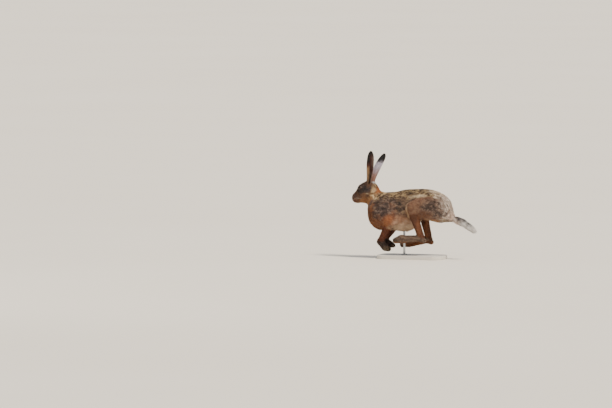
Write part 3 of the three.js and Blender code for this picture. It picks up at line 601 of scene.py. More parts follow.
def fur_finish(name, gloss, soft):
    """Fur of that name, coloured by the Coat attribute."""
    made = new_finish(name)
    coat = add_node(made, "ShaderNodeAttribute", attribute_name="Coat")
    spot = add_node(made, "ShaderNodeTexCoord")
    grain = add_node(
        made,
        "ShaderNodeTexNoise",
        {"Vector": spot.outputs["Object"], "Scale": 1 / HAIR_GRAIN, "Detail": 3.0, "Roughness": 0.6},
    )
    shade = add_node(
        made,
        "ShaderNodeMapRange",
        {"Value": grain.outputs["Fac"], "From Min": 0.3, "From Max": 0.7, "To Min": 0.78, "To Max": 1.18},
    )
    colour = add_node(
        made,
        "ShaderNodeVectorMath",
        {0: coat.outputs["Color"], 1: shade.outputs["Result"]},
        operation="MULTIPLY",
    )
    bump = add_node(
        made, "ShaderNodeBump", {"Height": grain.outputs["Fac"], "Strength": 0.5, "Distance": 0.3 * MM}
    )
    hair = add_node(
        made,
        "ShaderNodeBsdfPrincipled",
        {
            "Base Color": colour.outputs["Vector"],
            "Roughness": 0.62,
            "IOR": 1.55,
            "Specular IOR Level": gloss,
            "Sheen Weight": soft,
            "Sheen Roughness": 0.5,
            "Normal": bump.outputs["Normal"],
        },
    )
    add_node(made, "ShaderNodeOutputMaterial", {"Surface": hair.outputs["BSDF"]})
    return made


skin.data.materials.clear()
skin.data.materials.append(fur_finish("underfur", 0.15, 0.0))
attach(skin, "root")
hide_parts(*[name for name in flesh if part_of(name) != "eye"])

# The unwrap of the skin that the tufts take their places from
UNWRAP_ANGLE = math.radians(60)


def unwrap(piece, margin):
    """A surface laid flat, with that margin between its patches, in a layer named OFBake."""
    bpy.context.view_layer.objects.active = piece
    piece.select_set(True)
    bpy.ops.object.mode_set(mode="EDIT")
    bpy.ops.mesh.select_all(action="SELECT")
    bpy.ops.uv.smart_project(angle_limit=UNWRAP_ANGLE, island_margin=margin)
    bpy.ops.object.mode_set(mode="OBJECT")
    piece.select_set(False)
    piece.data.uv_layers[0].name = "OFBake"


unwrap(skin, 0.001)


# The coat: tufts of guard hair and wool, each a thin bent spike that leaves the skin, turns along the
# body and ends in a point. They overlap like tiles, and a few neighbours lean together in a lock. One
# tuft in twelve is longer, thinner and darker, as the guard hairs that stand through the coat are.
LEAN_TOGETHER = 0.42
LOCK_SHAPE = 2.4
TUFTS_IN_PIECE = 19800
BEND = (0.0, 0.46, 1.0)
TUFT_THICK = (0.5, 0.47)
TUFT_FLAT = 0.55
TUFT_ARCH = 0.14
LEAST_FLAT = 0.2
ROOT_DEEP = 0.3 * MM
GUARD = {"share": 0.08, "longer": 1.22, "thinner": 0.65, "darker": 1.3}
# How far tufts differ from each other in size and tone, in the way they turn, and in their ticks
VARY = {"length": (0.7, 1.15), "width": (0.75, 1.2), "rise": (0.5, 1.15), "tone": (0.86, 1.12)}
SWIRL = {"size": 22 * MM, "seed": 8, "together": 0.30, "alone": 0.20}
TICK_VARY = {"lock": 0.15, "alone": 0.55}
# A tuft is paler and less ticked at its middle than at its tip; its middle's tone is lowered a little and its
# root is duller, as painted shade deeper in the coat
MIDDLE_SHADE = {"ticks": 0.6, "paler": 0.3, "tone": 0.92}
ROOT_SHADE = {"ground": 0.5, "tip": 0.25}
# The size of a tuft's own patch on the skin's unwrap
PATCH = 0.003


def sample(mesh, weight):
    """Points spread over a mesh by a weight at each vertex, so many to a square metre: the triangles'
    corners, their shares in the point, and the point's place on the unwrap."""
    mesh.calc_loop_triangles()
    count = len(mesh.loop_triangles)
    corners = np.empty(count * 3, dtype=np.int64)
    mesh.loop_triangles.foreach_get("vertices", corners)
    corners = corners.reshape(-1, 3)
    loops = np.empty(count * 3, dtype=np.int64)
    mesh.loop_triangles.foreach_get("loops", loops)
    loops = loops.reshape(-1, 3)
    rows = points_of(mesh)
    a, b, c = (rows[corners[:, i]] for i in range(3))
    area = 0.5 * np.linalg.norm(np.cross(b - a, c - a), axis=1) * weight[corners].mean(axis=1)
    how_many = int(area.sum())
    ladder = np.cumsum(area) / area.sum()
    chance = (np.arange(how_many) + rng.random(how_many)) / how_many
    chosen = np.minimum(np.searchsorted(ladder, chance), count - 1)
    r1 = np.sqrt(rng.random(how_many))
    r2 = rng.random(how_many)
    parts = np.stack([1 - r1, r1 * (1 - r2), r1 * r2], axis=1)
    places = np.empty(len(mesh.loops) * 2)
    mesh.uv_layers["OFBake"].data.foreach_get("uv", places)
    spot = np.einsum("ij,ijk->ik", parts, places.reshape(-1, 2)[loops[chosen]])
    return corners[chosen], parts, spot


def mix(values, corners, parts):
    """A value of the vertices at sampled points."""
    return np.einsum("ij,ij...->i...", parts, values[corners])


def locks(roots, tips, spacing):
    """Tips drawn towards the tip of the lock that each tuft belongs to."""
    how_many = max(1, int(len(roots) / (spacing * spacing / LOCK_SHAPE)))
    leaders = rng.permutation(len(roots))[:how_many]
    tree = KDTree(len(leaders))
    for i, leader in enumerate(leaders):
        tree.insert(roots[leader], i)
    tree.balance()
    leader_of = leaders[[tree.find(p)[1] for p in roots]]
    pull = LEAN_TOGETHER * rng.random(len(roots))[:, None]
    return tips + pull * (tips[leader_of] - tips), leader_of


def tuft_mesh(name, roots, sides, ups, tips, width, colours, spots):
    """Spikes of three sides in one mesh. colours holds a root, a middle and a tip colour for each."""
    count = len(roots)
    run = tips - roots
    rise = ups * np.linalg.norm(run, axis=1)[:, None] * TUFT_ARCH
    corners = []
    for t, half, arch in zip(BEND, TUFT_THICK, (0.0, 1.0)):
        middle = roots + run * t + rise * arch
        wide = unit(sides) * (width * half)[:, None]
        corners += [middle - wide, middle + wide, middle + ups * (width * half * TUFT_FLAT)[:, None]]
    points = np.stack(corners + [tips], axis=1).reshape(-1, 3)
    walls = [[0, 1, 4, 3], [1, 2, 5, 4], [2, 0, 3, 5]]
    ends = [[3, 4, 6], [4, 5, 6], [5, 3, 6], [2, 1, 0]]
    start = (np.arange(count) * 7)[:, None]
    loops = np.hstack([start + np.array(walls).ravel(), start + np.array(ends).ravel()]).ravel()
    sizes = np.tile([4] * 3 + [3] * 4, count)
    mesh = bpy.data.meshes.new(name)
    mesh.vertices.add(count * 7)
    mesh.vertices.foreach_set("co", points.ravel())
    mesh.loops.add(len(loops))
    mesh.loops.foreach_set("vertex_index", loops)
    mesh.polygons.add(len(sizes))
    mesh.polygons.foreach_set("loop_start", np.concatenate([[0], np.cumsum(sizes)[:-1]]))
    mesh.update(calc_edges=True)
    shade_smooth(mesh)
    paint(mesh, np.stack([colours[i] for i in (0, 0, 0, 1, 1, 1, 2)], axis=1).reshape(-1, 3))
    local_u = np.array([-0.5, 0.5, 0, -0.5, 0.5, 0, 0]) * PATCH
    local_v = (np.array([BEND[0]] * 3 + [BEND[1]] * 3 + [BEND[2]]) - 0.5) * PATCH
    place = np.repeat(spots, 7, axis=0) + np.tile(np.stack([local_u, local_v], axis=1), (count, 1))
    layer = mesh.uv_layers.new(name="OFBake")
    layer.data.foreach_set("uv", place[loops].ravel())
    made = bpy.data.objects.new(name, mesh)
    bpy.context.scene.collection.objects.link(made)
    return made


def grow(base, surface, keep, fields, spacing, finish):
    """A coat on part of a surface, in pieces. fields holds the lie, the outward way, tuft length, width,
    rise and gap, colours and ticks at each vertex; keep is how much of the coat grows there."""
    lie_at, out_at, length, width, rise, gap, colours_at, ticks_at = fields
    where, parts, spots = sample(surface.data, keep / gap**2)
    how_many = len(where)
    roots = mix(points_of(surface.data), where, parts)
    out = unit(mix(out_at, where, parts))
    guard = rng.random(how_many) < GUARD["share"]
    size = mix(length, where, parts) * rng.uniform(*VARY["length"], how_many)
    size = size * np.where(guard, GUARD["longer"], 1)
    wide = mix(width, where, parts) * rng.uniform(*VARY["width"], how_many)
    wide = wide * np.where(guard, GUARD["thinner"], 1)
    high = mix(rise, where, parts) * rng.uniform(*VARY["rise"], how_many)
    way = lie_on(out, mix(lie_at, where, parts))
    turn = wander(roots, SWIRL["size"], SWIRL["seed"]) * SWIRL["together"]
    turn = turn + rng.normal(0, SWIRL["alone"], how_many)
    way = lie_on(out, way + np.cross(out, way) * turn[:, None])
    flat = np.sqrt(np.maximum(size**2 - high**2, LEAST_FLAT * size**2))
    tips = roots + way * flat[:, None] + out * high[:, None]
    tips, leader_of = locks(roots, tips, spacing)
    grain = mix(ticks_at, where, parts)
    grain = grain + TICK_VARY["lock"] * grain[leader_of] + rng.normal(0, TICK_VARY["alone"], how_many)
    grain = grain - guard * GUARD["darker"]
    ground = mix(colours_at, where, parts)
    tone = rng.uniform(*VARY["tone"], how_many)[:, None]
    tip_colour = ticked(ground, grain) * tone
    # Middle and root colours carry painted shade, darker deeper in the coat
    middle_grain = grain * MIDDLE_SHADE["ticks"] + MIDDLE_SHADE["paler"]
    middle_colour = ticked(ground, middle_grain) * tone * MIDDLE_SHADE["tone"]
    root_colour = ground[:, 0:3] * ROOT_SHADE["ground"] + tip_colour * ROOT_SHADE["tip"]
    roots = roots - out * ROOT_DEEP
    side = np.cross(out, way)
    order = np.argsort(roots[:, 0])
    pieces = math.ceil(how_many / TUFTS_IN_PIECE)
    for i in range(pieces):
        chosen = order[how_many * i // pieces : how_many * (i + 1) // pieces]
        colours = (root_colour[chosen], middle_colour[chosen], tip_colour[chosen])
        name = base if pieces == 1 else f"{base}_{i + 1}"
        piece = tuft_mesh(
            name, roots[chosen], side[chosen], out[chosen], tips[chosen], wide[chosen], colours, spots[chosen]
        )
        piece.data.materials.append(finish)
        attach(piece, "root")


# Length, width, rise and gap of the shortest tufts, on the muzzle and round the claws
MUZZLE_TUFT = (3.4 * MM, 0.60 * MM, 0.6 * MM, 0.86 * MM)
CLAW_TUFT = (2.4 * MM, 0.60 * MM, 0.3 * MM, 0.95 * MM)
FLATTER_IN_CLEFT = 0.75
EYE_BARE = 2.5
tuft_fields = [by_part(column) * MM for column in (LENGTH, WIDTH, RISE, GAP)]
for small_tuft, here in ((MUZZLE_TUFT, short_here), (CLAW_TUFT, near_claw)):
    for i, small in enumerate(small_tuft):
        tuft_fields[i] = tuft_fields[i] * (1 - here) + small * here
length, width, rise, gap = tuft_fields
rise = rise * (1 - FLATTER_IN_CLEFT * toe_cleft)
hide_fields = (lie, outward, length, width, rise, gap, hide_colours, ticks)
bare = np.clip(on_eyeball * EYE_BARE + no_fur, 0, 1)

guard_hair = fur_finish("guard hair and wool", 0.25, 0.15)
leg_hair = fur_finish("short leg hair", 0.25, 0.1)
tail_hair = fur_finish("long tail hair", 0.25, 0.2)
# Body parts, the piece's name, the distance between locks in tuft gaps, finish and slot
COAT_GROUPS = [
    (("head", "eye"), "coat_head", 5.0, guard_hair, "fur_flank"),
    (("neck",), "coat_neck", 5.0, guard_hair, "fur_back"),
    (("torso",), "coat_torso", 5.0, guard_hair, "fur_back"),
    (("upper_arm",), "coat_upper_arms", 5.0, guard_hair, "fur_flank"),
    (("thigh",), "coat_thighs", 5.0, guard_hair, "fur_flank"),
    (("shank", "forearm"), "coat_lower_legs", 4.0, leg_hair, "fur_leg"),
    (("hind_foot", "fore_paw"), "coat_feet", 4.0, leg_hair, "fur_leg"),
    (("tail",), "coat_tail", 7.0, tail_hair, "fur_tail"),
]
for parts_here, name, spacing, finish, slot in COAT_GROUPS:
    grow(name, skin, share_of(*parts_here) * (1 - bare), hide_fields, spacing, finish)

# The whiskers: stiff bristles in four rows on each side of the muzzle, white and dark, each a solid
# tapered hair that leaves the lip sideways and bends back. They are glued into pricked holes.
WHISKERS = {"rows": 4, "in_row": 4, "long": (46, 74), "root": 0.2, "sides": 5, "steps": 9}
WHISKER_FIELD = {"back": (9, 24), "up": (-12.5, -5.5), "astray_back": 1, "astray_up": 0.6}
WHISKER_OUT = {"ahead": -0.25, "turn": 0.03, "tilt": (-0.25, 0.15), "reach": 0.85}
WHISKER_BEND = {"back": 0.75, "down": (0.15, 0.55), "share": 0.6}
WHISKER_TIP = 1.03
skin_bm = bmesh.new()
skin_bm.from_mesh(skin.data)
skin_tree = BVHTree.FromBMesh(skin_bm)
bm = bmesh.new()
shades = []
for side_y in (-1, 1):
    for i in range(WHISKERS["rows"] * WHISKERS["in_row"]):
        row, column = divmod(i, WHISKERS["in_row"])
        back_by = np.interp(column, (0, WHISKERS["in_row"] - 1), WHISKER_FIELD["back"])
        back_by += rng.uniform(-WHISKER_FIELD["astray_back"], WHISKER_FIELD["astray_back"])
        up_by = np.interp(row, (0, WHISKERS["rows"] - 1), WHISKER_FIELD["up"])
        up_by += rng.uniform(-WHISKER_FIELD["astray_up"], WHISKER_FIELD["astray_up"])
        start = Vector(NOSE + (HEAD_BACK * back_by + HEAD_UP * up_by) * MM)
        root = skin_tree.ray_cast(start, Vector((0, side_y, 0)))[0] or start
        length = rng.uniform(*WHISKERS["long"]) * MM
        down = rng.uniform(*WHISKER_BEND["down"])
        bend = (Vector(HEAD_BACK) * WHISKER_BEND["back"] - Vector(HEAD_UP) * down) * length
        ahead = WHISKER_OUT["ahead"] + WHISKER_OUT["turn"] * back_by
        out_way = Vector((ahead, side_y, rng.uniform(*WHISKER_OUT["tilt"])))
        out_way = out_way.normalized() * length * WHISKER_OUT["reach"]
        dark = (i + row) % 2 == 1
        ring = bmesh.ops.create_circle(bm, segments=WHISKERS["sides"], radius=WHISKERS["root"] * MM)["verts"]
        heading_way = out_way.normalized()
        turn_to = Vector((0, 0, 1)).rotation_difference(heading_way).to_matrix().to_4x4()
        bmesh.ops.transform(bm, matrix=Matrix.Translation(root) @ turn_to, verts=ring)
        bmesh.ops.contextual_create(bm, geom=ring)
        edges = list({edge for v in ring for edge in v.link_edges})
        last = root
        for step in range(1, WHISKERS["steps"] + 1):
            t = step / WHISKERS["steps"]
            here = root + out_way * t + bend * t * t * WHISKER_BEND["share"]
            made = bmesh.ops.extrude_edge_only(bm, edges=edges)["geom"]
            ring = [part for part in made if isinstance(part, bmesh.types.BMVert)]
            edges = [part for part in made if isinstance(part, bmesh.types.BMEdge)]
            bmesh.ops.translate(bm, verts=ring, vec=here - last)
            thinner = (WHISKER_TIP - t) / (WHISKER_TIP - t + 1 / WHISKERS["steps"])
            shrink = Matrix.Translation(here) @ Matrix.Scale(thinner, 4) @ Matrix.Translation(-here)
            bmesh.ops.transform(bm, matrix=shrink, verts=ring)
            last = here
        bmesh.ops.contextual_create(bm, geom=ring)
        shades += [dark] * (len(bm.verts) - len(shades))
bmesh.ops.recalc_face_normals(bm, faces=bm.faces)
whiskers = new_piece("whiskers", bm)
skin_bm.free()
pale_dark = np.array([linear("d8d0c6"), linear("2e2420")])
paint(whiskers.data, pale_dark[np.array(shades, dtype=int)])
shade_smooth(whiskers.data)
whiskers.data.materials.append(fur_finish("whisker hair", 0.4, 0.0))
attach(whiskers, "root")


# The ears: a thin curled leaf of skin and gristle each, sewn to the head, with short fur on both faces
# and black at the tip. A leaf is the solid's own surface, rounded off, sunk by the depth of its fur.
EAR_OPEN = {"left": (0.34, -0.94, 0.0), "right": (0.20, 0.98, 0.0)}
EAR_FUR = {"depth": 0.5, "length": 5.0, "width": 0.62, "rise": 0.6, "gap": 1.32, "locks": 4.0}
EAR_TICKS = {"size": 3 * MM, "seed": 6, "in_coat": 1.2}
EAR_RAGGED = {"size": 5 * MM, "seed": 4, "strength": 0.05}
EAR_FLAT = 0.7
EAR_COATS = {
    "tip": ("17120f", "0c0a09", "2c2420", 0.4),
    # The inner face's dark red-brown is painted shade, with the red of light shining through the skin painted
    # in
    "inner": ("5b2c22", "35181a", "8a5648", 0.5),
    "inner low": ("7a6455", "4d3c33", "a58f7c", 0.5),
    "front strip": ("a98a66", "6f563f", "cbb08a", 0.4),
    "pink strip": ("a08a80", "715a52", "c8b4a8", 0.4),
    # The back of the ear is whitish, with the cool blue cast of painted shade
    "back pale in painted shade": ("cfc8d6", "a7a0b0", "e8e4ee", 0.3),
    # The lower back of the ear is pinkish brown: partly its own colour, partly painted sunlight on the ear's
    # base
    "back low with painted light": ("a98070", "7d584a", "c8a595", 0.4),
}
# Where the marks begin and end, as shares of the ear's height, or in metres from its middle line
EAR_MARKS = {
    "inner low": (0.25, 0.5),
    "front strip": (0.45, 0.6),
    "pink strip": (0.4, 0.6),
    "front tip": (0.55, 0.72),
    "back low with painted light": (0.22, 0.62),
    "tip": (-0.03, 0.10),
    "front": (1 * MM, 6 * MM),
    "rear": (2 * MM, 6 * MM),
}
INNER_FACE = (-0.1, 0.35)
PINK = 0.8
TIP_FROM = {"inner": 0.84, "lower behind": 0.14}
EAR_ENDS = (0.1, 0.95)
EAR_LEVELS = {"count": 12, "half": 0.08}
COATS.update({"ear " + key: value for key, value in EAR_COATS.items()})
ear_fur = fur_finish("short ear fur", 0.3, 0.1)


def lay(rows, name, amount):
    """Another ear colour laid over the rows, as far as amount says."""
    return rows + amount[:, None] * (coat_row("ear " + name) - rows)


for side_name in ("left", "right"):
    node_name = "ear_" + side_name
    bm = bmesh.new()
    merged_copy(bm, node_name)
    bmesh.ops.join_triangles(
        bm, faces=bm.faces, angle_face_threshold=EAR_FLAT, angle_shape_threshold=EAR_FLAT
    )
    ear = new_piece("ear_leaf_" + side_name, bm)
    finer = ear.modifiers.new("smooth leaf", "SUBSURF")
    finer.levels = finer.render_levels = 2
    apply_modifiers(ear)
    shade_smooth(ear.data)
    leaf_out = normals_of(ear.data)
    leaf = points_of(ear.data) - leaf_out * EAR_FUR["depth"] * MM
    move_points(ear.data, leaf)
    low, high = (np.array(corner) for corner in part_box(node_name))
    t = (leaf[:, 2] - low[2]) / (high[2] - low[2])
    axis = unit((leaf[t > EAR_ENDS[1]].mean(axis=0) - leaf[t < EAR_ENDS[0]].mean(axis=0))[None, :])
    inner = ease(*INNER_FACE, leaf_out @ np.array(EAR_OPEN[side_name]))
    levels = np.linspace(0, 1, EAR_LEVELS["count"])
    middles = [leaf[np.abs(t - level) < EAR_LEVELS["half"], 0].mean() for level in levels]
    middle_x = np.interp(t, levels, middles)
    front = ease(*EAR_MARKS["front"], middle_x - leaf[:, 0])
    rear = ease(*EAR_MARKS["rear"], leaf[:, 0] - middle_x)
    rows = np.repeat(coat_row("ear inner")[None, :], len(leaf), axis=0)
    ragged = wander(leaf, EAR_RAGGED["size"], EAR_RAGGED["seed"]) * EAR_RAGGED["strength"]
    rows = lay(rows, "inner low", 1 - ease(*EAR_MARKS["inner low"], t + ragged))
    rows = lay(rows, "front strip", front * (1 - ease(*EAR_MARKS["front strip"], t)))
    rows = lay(rows, "pink strip", rear * ease(*EAR_MARKS["pink strip"], t) * PINK)
    rows = lay(rows, "tip", front * ease(*EAR_MARKS["front tip"], t))
    # The back of the leaf whitish in painted shade
    rows = lay(rows, "back pale in painted shade", 1 - inner)
    # Painted light on the lower back of the leaf
    rows = lay(rows, "back low with painted light", (1 - inner) * (1 - ease(*EAR_MARKS["back low with painted light"], t + ragged)))
    tip_from = TIP_FROM["inner"] - TIP_FROM["lower behind"] * (1 - inner)
    rows = lay(rows, "tip", ease(*EAR_MARKS["tip"], t + ragged - tip_from))
    ear_ticks = wander(leaf, EAR_TICKS["size"], EAR_TICKS["seed"])
    # The ear's skin, darkened as painted shade under its fur
    paint(ear.data, ticked(rows, ear_ticks) * UNDERFUR_SHADE)
    ear.data.materials.clear()
    ear.data.materials.append(fur_finish("ear skin " + side_name, 0.2, 0.0))
    unwrap(ear, 0.002)
    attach(ear, "root")
    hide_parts(node_name)
    ones = np.ones(len(leaf))
    leaf_fields = (
        lie_on(leaf_out, np.repeat(axis, len(leaf), axis=0)),
        leaf_out,
        *[ones * EAR_FUR[key] * MM for key in ("length", "width", "rise", "gap")],
        rows,
        ear_ticks * EAR_TICKS["in_coat"],
    )
    grow("coat_ear_" + side_name, ear, ones, leaf_fields, EAR_FUR["locks"], ear_fur)


# The eyes: glass eyes set in the sockets, amber round a wide dark pupil, with a bulge over the pupil
# that takes the highlight. Two lids of bare dark skin, modelled in putty, close round each as an almond.
EYE = {"back": 63.0, "side": 20.0, "up": 18.5, "radius": 9.0, "round": 40, "rings": 32}
CORNEA = {"half": 40.0, "proud": 0.5}
GAZE = (-0.25, 0.95, 0.10)
# From the pupil outwards, where each colour stands on the way from the front of the eye to its middle
EYE_COLOURS = {0.18: "050404", 0.22: "5e3816", 0.36: "4a2a10", 0.46: "1a100a"}
IRIS_REACH = (3 * MM, 9 * MM)
IRIS_THREAD = 0.7 * MM
# The almond's half angles along and across in degrees, and its rows: degrees past the opening, radius
LID = {"long": 60.0, "high": 38.0, "power": 1.55, "points": 40}
LID_ROWS = [(0, 9.1), (0, 9.6), (5, 9.85), (13, 9.7), (26, 8.6), (18, 8.2), (5, 8.5)]


def clouded_finish(name, dark, pale, cloud, detail, look, dents=None):
    """A finish whose tone drifts between two colours in clouds of that size in metres. look holds the
    shader's own values, and dents the size, strength and depth of a bump."""
    made = new_finish(name)
    spot = add_node(made, "ShaderNodeTexCoord")
    inputs = {"Vector": spot.outputs["Object"], "Scale": 1 / cloud, "Detail": detail}
    tone = add_node(made, "ShaderNodeTexNoise", inputs)
    ramp = add_node(made, "ShaderNodeValToRGB", {"Fac": tone.outputs["Fac"]})
    for stop, code in zip(ramp.color_ramp.elements, (dark, pale)):
        stop.color = (*linear(code), 1)
    look = {"Base Color": ramp.outputs["Color"], **look}
    if dents:
        size, strength, deep = dents
        inputs = {"Vector": spot.outputs["Object"], "Scale": 1 / size, "Detail": detail}
        grain = add_node(made, "ShaderNodeTexNoise", inputs)
        inputs = {"Height": grain.outputs["Fac"], "Strength": strength, "Distance": deep}
        look["Normal"] = add_node(made, "ShaderNodeBump", inputs).outputs["Normal"]
    shader = add_node(made, "ShaderNodeBsdfPrincipled", look)
    add_node(made, "ShaderNodeOutputMaterial", {"Surface": shader.outputs["BSDF"]})
    return made


# Bare eyelid skin: thin, a little moist, so it shines more than the fur and shows its pores
LID_PORE = 0.8 * MM
LID_LOOK = {"Roughness": 0.42, "IOR": 1.45}
lid_dents = (LID_PORE, 0.4, 0.2 * MM)
lid_skin = clouded_finish("bare eyelid skin", "1d1310", "3f2c24", LID_PORE, 3.0, LID_LOOK, lid_dents)
for side_name, side_y in (("left", -1), ("right", 1)):
    centre = Vector(NOSE + (HEAD_BACK * EYE["back"] + HEAD_UP * EYE["up"]) * MM)
    centre.y = side_y * EYE["side"] * MM
    aim = Vector((GAZE[0], GAZE[1] * side_y, GAZE[2])).normalized()
    ahead = (-Vector(HEAD_BACK) - aim * -Vector(HEAD_BACK).dot(aim)).normalized()
    above = ahead.cross(aim) if ahead.cross(aim).z > 0 else aim.cross(ahead)

    bm = bmesh.new()
    bmesh.ops.create_uvsphere(
        bm, u_segments=EYE["round"], v_segments=EYE["rings"], radius=EYE["radius"] * MM
    )
    for v in bm.verts:
        from_pole = math.degrees(v.co.angle(Vector((0, 0, 1))))
        bulge = max(0.0, 1 - (from_pole / CORNEA["half"]) ** 2) * CORNEA["proud"] * MM
        v.co += v.co.normalized() * bulge
    turn_to = Vector((0, 0, 1)).rotation_difference(aim).to_matrix().to_4x4()
    bmesh.ops.transform(bm, matrix=Matrix.Translation(centre) @ turn_to, verts=bm.verts)
    ball = new_piece("glass_eye_" + side_name, bm)
    shade_smooth(ball.data)

    # Blown glass: smooth and clear over the painted iris, whose threads run through its amber
    glass = new_finish("glass eye " + side_name)
    spot = add_node(glass, "ShaderNodeTexCoord")
    away = add_node(
        glass, "ShaderNodeVectorMath", {0: spot.outputs["Object"], 1: tuple(centre)}, operation="SUBTRACT"
    )
    forward = add_node(
        glass, "ShaderNodeVectorMath", {0: away.outputs["Vector"], 1: tuple(aim)}, operation="DOT_PRODUCT"
    )
    ring = add_node(
        glass,
        "ShaderNodeMapRange",
        {
            "Value": forward.outputs["Value"],
            "From Min": IRIS_REACH[0],
            "From Max": IRIS_REACH[1],
            "To Min": 1.0,
            "To Max": 0.0,
        },
    )
    ramp = add_node(glass, "ShaderNodeValToRGB", {"Fac": ring.outputs["Result"]})
    for i, (place, code) in enumerate(EYE_COLOURS.items()):
        stop = ramp.color_ramp.elements[i] if i < 2 else ramp.color_ramp.elements.new(place)
        stop.position = place
        stop.color = (*linear(code), 1)
    threads = add_node(
        glass,
        "ShaderNodeTexNoise",
        {"Vector": spot.outputs["Object"], "Scale": 1 / IRIS_THREAD, "Detail": 3.0},
    )
    shade = add_node(
        glass,
        "ShaderNodeMapRange",
        {"Value": threads.outputs["Fac"], "From Min": 0.3, "From Max": 0.7, "To Min": 0.7, "To Max": 1.3},
    )
    colour = add_node(
        glass,
        "ShaderNodeVectorMath",
        {0: ramp.outputs["Color"], 1: shade.outputs["Result"]},
        operation="MULTIPLY",
    )
    clear = add_node(
        glass,
        "ShaderNodeBsdfPrincipled",
        {"Base Color": colour.outputs["Vector"], "Roughness": 0.05, "IOR": 1.45, "Specular IOR Level": 0.3},
    )
    add_node(glass, "ShaderNodeOutputMaterial", {"Surface": clear.outputs["BSDF"]})
    ball.data.materials.append(glass)
    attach(ball, "root")
    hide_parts("eye_" + side_name)

    bm = bmesh.new()
    rows_made = []
    for past, radius in LID_ROWS:
        ring = bmesh.ops.create_circle(bm, segments=LID["points"], radius=MM)["verts"]
        for i, v in enumerate(ring):
            turn = math.tau * i / LID["points"]
            reach = abs(math.cos(turn) / LID["long"]) ** LID["power"]
            reach += abs(math.sin(turn) / LID["high"]) ** LID["power"]
            half = math.radians(reach ** (-1 / LID["power"]) + past)
            flat_way = ahead * math.cos(turn) + above * math.sin(turn)
            v.co = centre + (aim * math.cos(half) + flat_way * math.sin(half)) * radius * MM
        rows_made.append(list({edge for v in ring for edge in v.link_edges}))
    for one, other in zip(rows_made, rows_made[1:] + rows_made[:1]):
        bmesh.ops.bridge_loops(bm, edges=one + other)
    bmesh.ops.recalc_face_normals(bm, faces=bm.faces)
    lids = new_piece("eyelids_" + side_name, bm)
    shade_smooth(lids.data)
    lids.data.materials.append(lid_skin)
    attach(lids, "root")


# The claws: a small spike of horn at the end of each toe, seated in a socket of the foot and left as the
# solids have it. Blackish horn is worn smooth, with a dull gloss and cloudy streaks.
HORN_CLOUD = 1.5 * MM
HORN_LOOK = {"Roughness": 0.35, "IOR": 1.54}
horn = clouded_finish("black horn", "1d1613", "4a3a2f", HORN_CLOUD, 4.0, HORN_LOOK)
for name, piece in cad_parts.items():
    if name.startswith("claw_"):
        piece.data.materials.clear()
        piece.data.materials.append(horn)


# The stand: a board of painted beech, a turned steel flange screwed to it, and one steel rod that is held
# in the flange and runs up into the body. The board is the solid's own, and the steel is turned round.

# Satin paint, laid on with a roller: an even colour with faint clouds and the roller's fine stipple
PAINT_CLOUD = 60 * MM
PAINT_LOOK = {"Roughness": 0.42, "IOR": 1.5}
stipple = (1.2 * MM, 0.2, 0.1 * MM)
board_paint = clouded_finish(
    "satin painted board", "c9c4ba", "d8d3c9", PAINT_CLOUD, 2.0, PAINT_LOOK, stipple
)

# Brushed steel, polished round on the lathe: its fine rings give the highlight a soft edge
BRUSH_MARK = 0.8 * MM
ALONG_RINGS = (0.15, 0.15, 1.0)
steel = new_finish("brushed steel")
spot = add_node(steel, "ShaderNodeTexCoord")
rings = add_node(steel, "ShaderNodeMapping", {"Vector": spot.outputs["Object"], "Scale": ALONG_RINGS})
brushed = add_node(
    steel, "ShaderNodeTexNoise", {"Vector": rings.outputs["Vector"], "Scale": 1 / BRUSH_MARK, "Detail": 4.0}
)
rough = add_node(
    steel,
    "ShaderNodeMapRange",
    {"Value": brushed.outputs["Fac"], "From Min": 0.3, "From Max": 0.7, "To Min": 0.26, "To Max": 0.42},
)
bar = add_node(
    steel,
    "ShaderNodeBsdfPrincipled",
    {"Base Color": (*linear("b9bcbe"), 1), "Metallic": 1.0, "Roughness": rough.outputs["Result"]},
)
add_node(steel, "ShaderNodeOutputMaterial", {"Surface": bar.outputs["BSDF"]})
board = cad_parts["stand_board"]
board.data.materials.clear()
board.data.materials.append(board_paint)
TURNED_SEGMENTS = 96
TURNED_EDGES = {"stand_flange": 0.8, "stand_rod": 0.4}
RIM_ANGLE = math.radians(60)
END_FACE = 0.99
for name, edge in TURNED_EDGES.items():
    low, high = (Vector(corner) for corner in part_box(name))
    bm = bmesh.new()
    bmesh.ops.create_cone(
        bm,
        cap_ends=True,
        segments=TURNED_SEGMENTS,
        radius1=(high.x - low.x) / 2,
        radius2=(high.x - low.x) / 2,
        depth=high.z - low.z,
        matrix=Matrix.Translation((low + high) / 2),
    )
    bmesh.ops.bevel(
        bm,
        geom=[e for e in bm.edges if e.calc_face_angle(0) > RIM_ANGLE],
        offset=edge * MM,
        segments=3,
        profile=0.5,
        affect="EDGES",
        clamp_overlap=True,
        material=-1,
    )
    turned = new_piece("turned_" + name, bm)
    for face in turned.data.polygons:
        face.use_smooth = abs(face.normal.z) < END_FACE
    turned.data.materials.append(steel)
    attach(turned, "root")
    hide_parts(name)


# The room: a plain pale floor that runs out of the picture, a soft lamp high behind the animal's rump, a
# wide fill from the front, and an even sky. The floor's matte paint takes no highlight, and has faint
# clouds of tone.
FLOOR_HALF = 100.0
FLOOR_DROP = 0.2 * MM
FLOOR_CLOUD = 5 / 3
bm = bmesh.new()
bmesh.ops.create_grid(bm, x_segments=2, y_segments=2, size=FLOOR_HALF)
bmesh.ops.translate(bm, verts=bm.verts, vec=(0, 0, -FLOOR_DROP))
floor = new_piece("floor", bm)
matte = clouded_finish("matte floor paint", "e9e2d5", "efe9de", FLOOR_CLOUD, 3.0, {"Roughness": 0.8})
floor.data.materials.append(matte)

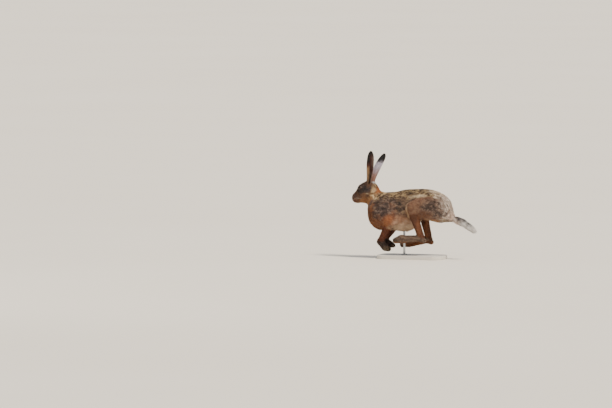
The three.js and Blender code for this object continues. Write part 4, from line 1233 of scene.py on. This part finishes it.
SKY_STRENGTH = 0.65
sky = bpy.data.worlds.new("even sky")
sky.use_nodes = True
sky_light = sky.node_tree.nodes["Background"].inputs
sky_light["Color"].default_value = (*linear("eef1f6"), 1)
sky_light["Strength"].default_value = SKY_STRENGTH
bpy.context.scene.world = sky

FILL = {"place": (-1.6, -3.2, 1.8), "size": 2.4, "power": 15}
HIGH_LAMP = {"way": (-0.62, 0.28, -0.95), "power": 5.2, "angle": math.radians(14)}
BODY_MIDDLE = (0, 0, 0.22)
fill = bpy.data.lights.new("front fill", "AREA")
fill.size = FILL["size"]
fill.energy = FILL["power"]
fill.color = linear("fff8f0")
sun = bpy.data.lights.new("high lamp", "SUN")
sun.energy = HIGH_LAMP["power"]
sun.angle = HIGH_LAMP["angle"]
sun.color = linear("fff4e4")
fill_way = Vector(BODY_MIDDLE) - Vector(FILL["place"])
for light, place, way in ((fill, FILL["place"], fill_way), (sun, (0, 0, 0), Vector(HIGH_LAMP["way"]))):
    lamp = bpy.data.objects.new(light.name, light)
    lamp.location = place
    lamp.rotation_euler = way.to_track_quat("-Z", "Y").to_euler()
    bpy.context.scene.collection.objects.link(lamp)

# The camera is low and far away, to the animal's left and a little behind it, with a long lens
SENSOR_WIDTH = 36
VIEW_TURN = math.radians(20)
VIEW_TILT = math.radians(3.5)
VIEW_DISTANCE = 30.0
VIEW_WIDTH = 2.693
VIEW_CENTRE = (-0.4664, 0.2401)
right = Vector((math.cos(VIEW_TURN), math.sin(VIEW_TURN), 0))
flat_back = Vector((math.sin(VIEW_TURN), -math.cos(VIEW_TURN), 0))
back = flat_back * math.cos(VIEW_TILT) + Vector((0, 0, math.sin(VIEW_TILT)))
up = back.cross(right)
lens = bpy.data.cameras.new("camera")
lens.sensor_width = SENSOR_WIDTH
lens.lens = SENSOR_WIDTH * VIEW_DISTANCE / VIEW_WIDTH
lens.clip_start = 1.0
lens.clip_end = 400.0
camera = bpy.data.objects.new("camera", lens)
stand_point = right * VIEW_CENTRE[0] + up * VIEW_CENTRE[1] + back * VIEW_DISTANCE
camera.matrix_world = Matrix.Translation(stand_point) @ Matrix((right, up, back)).transposed().to_4x4()
bpy.context.scene.collection.objects.link(camera)
bpy.context.scene.camera = camera
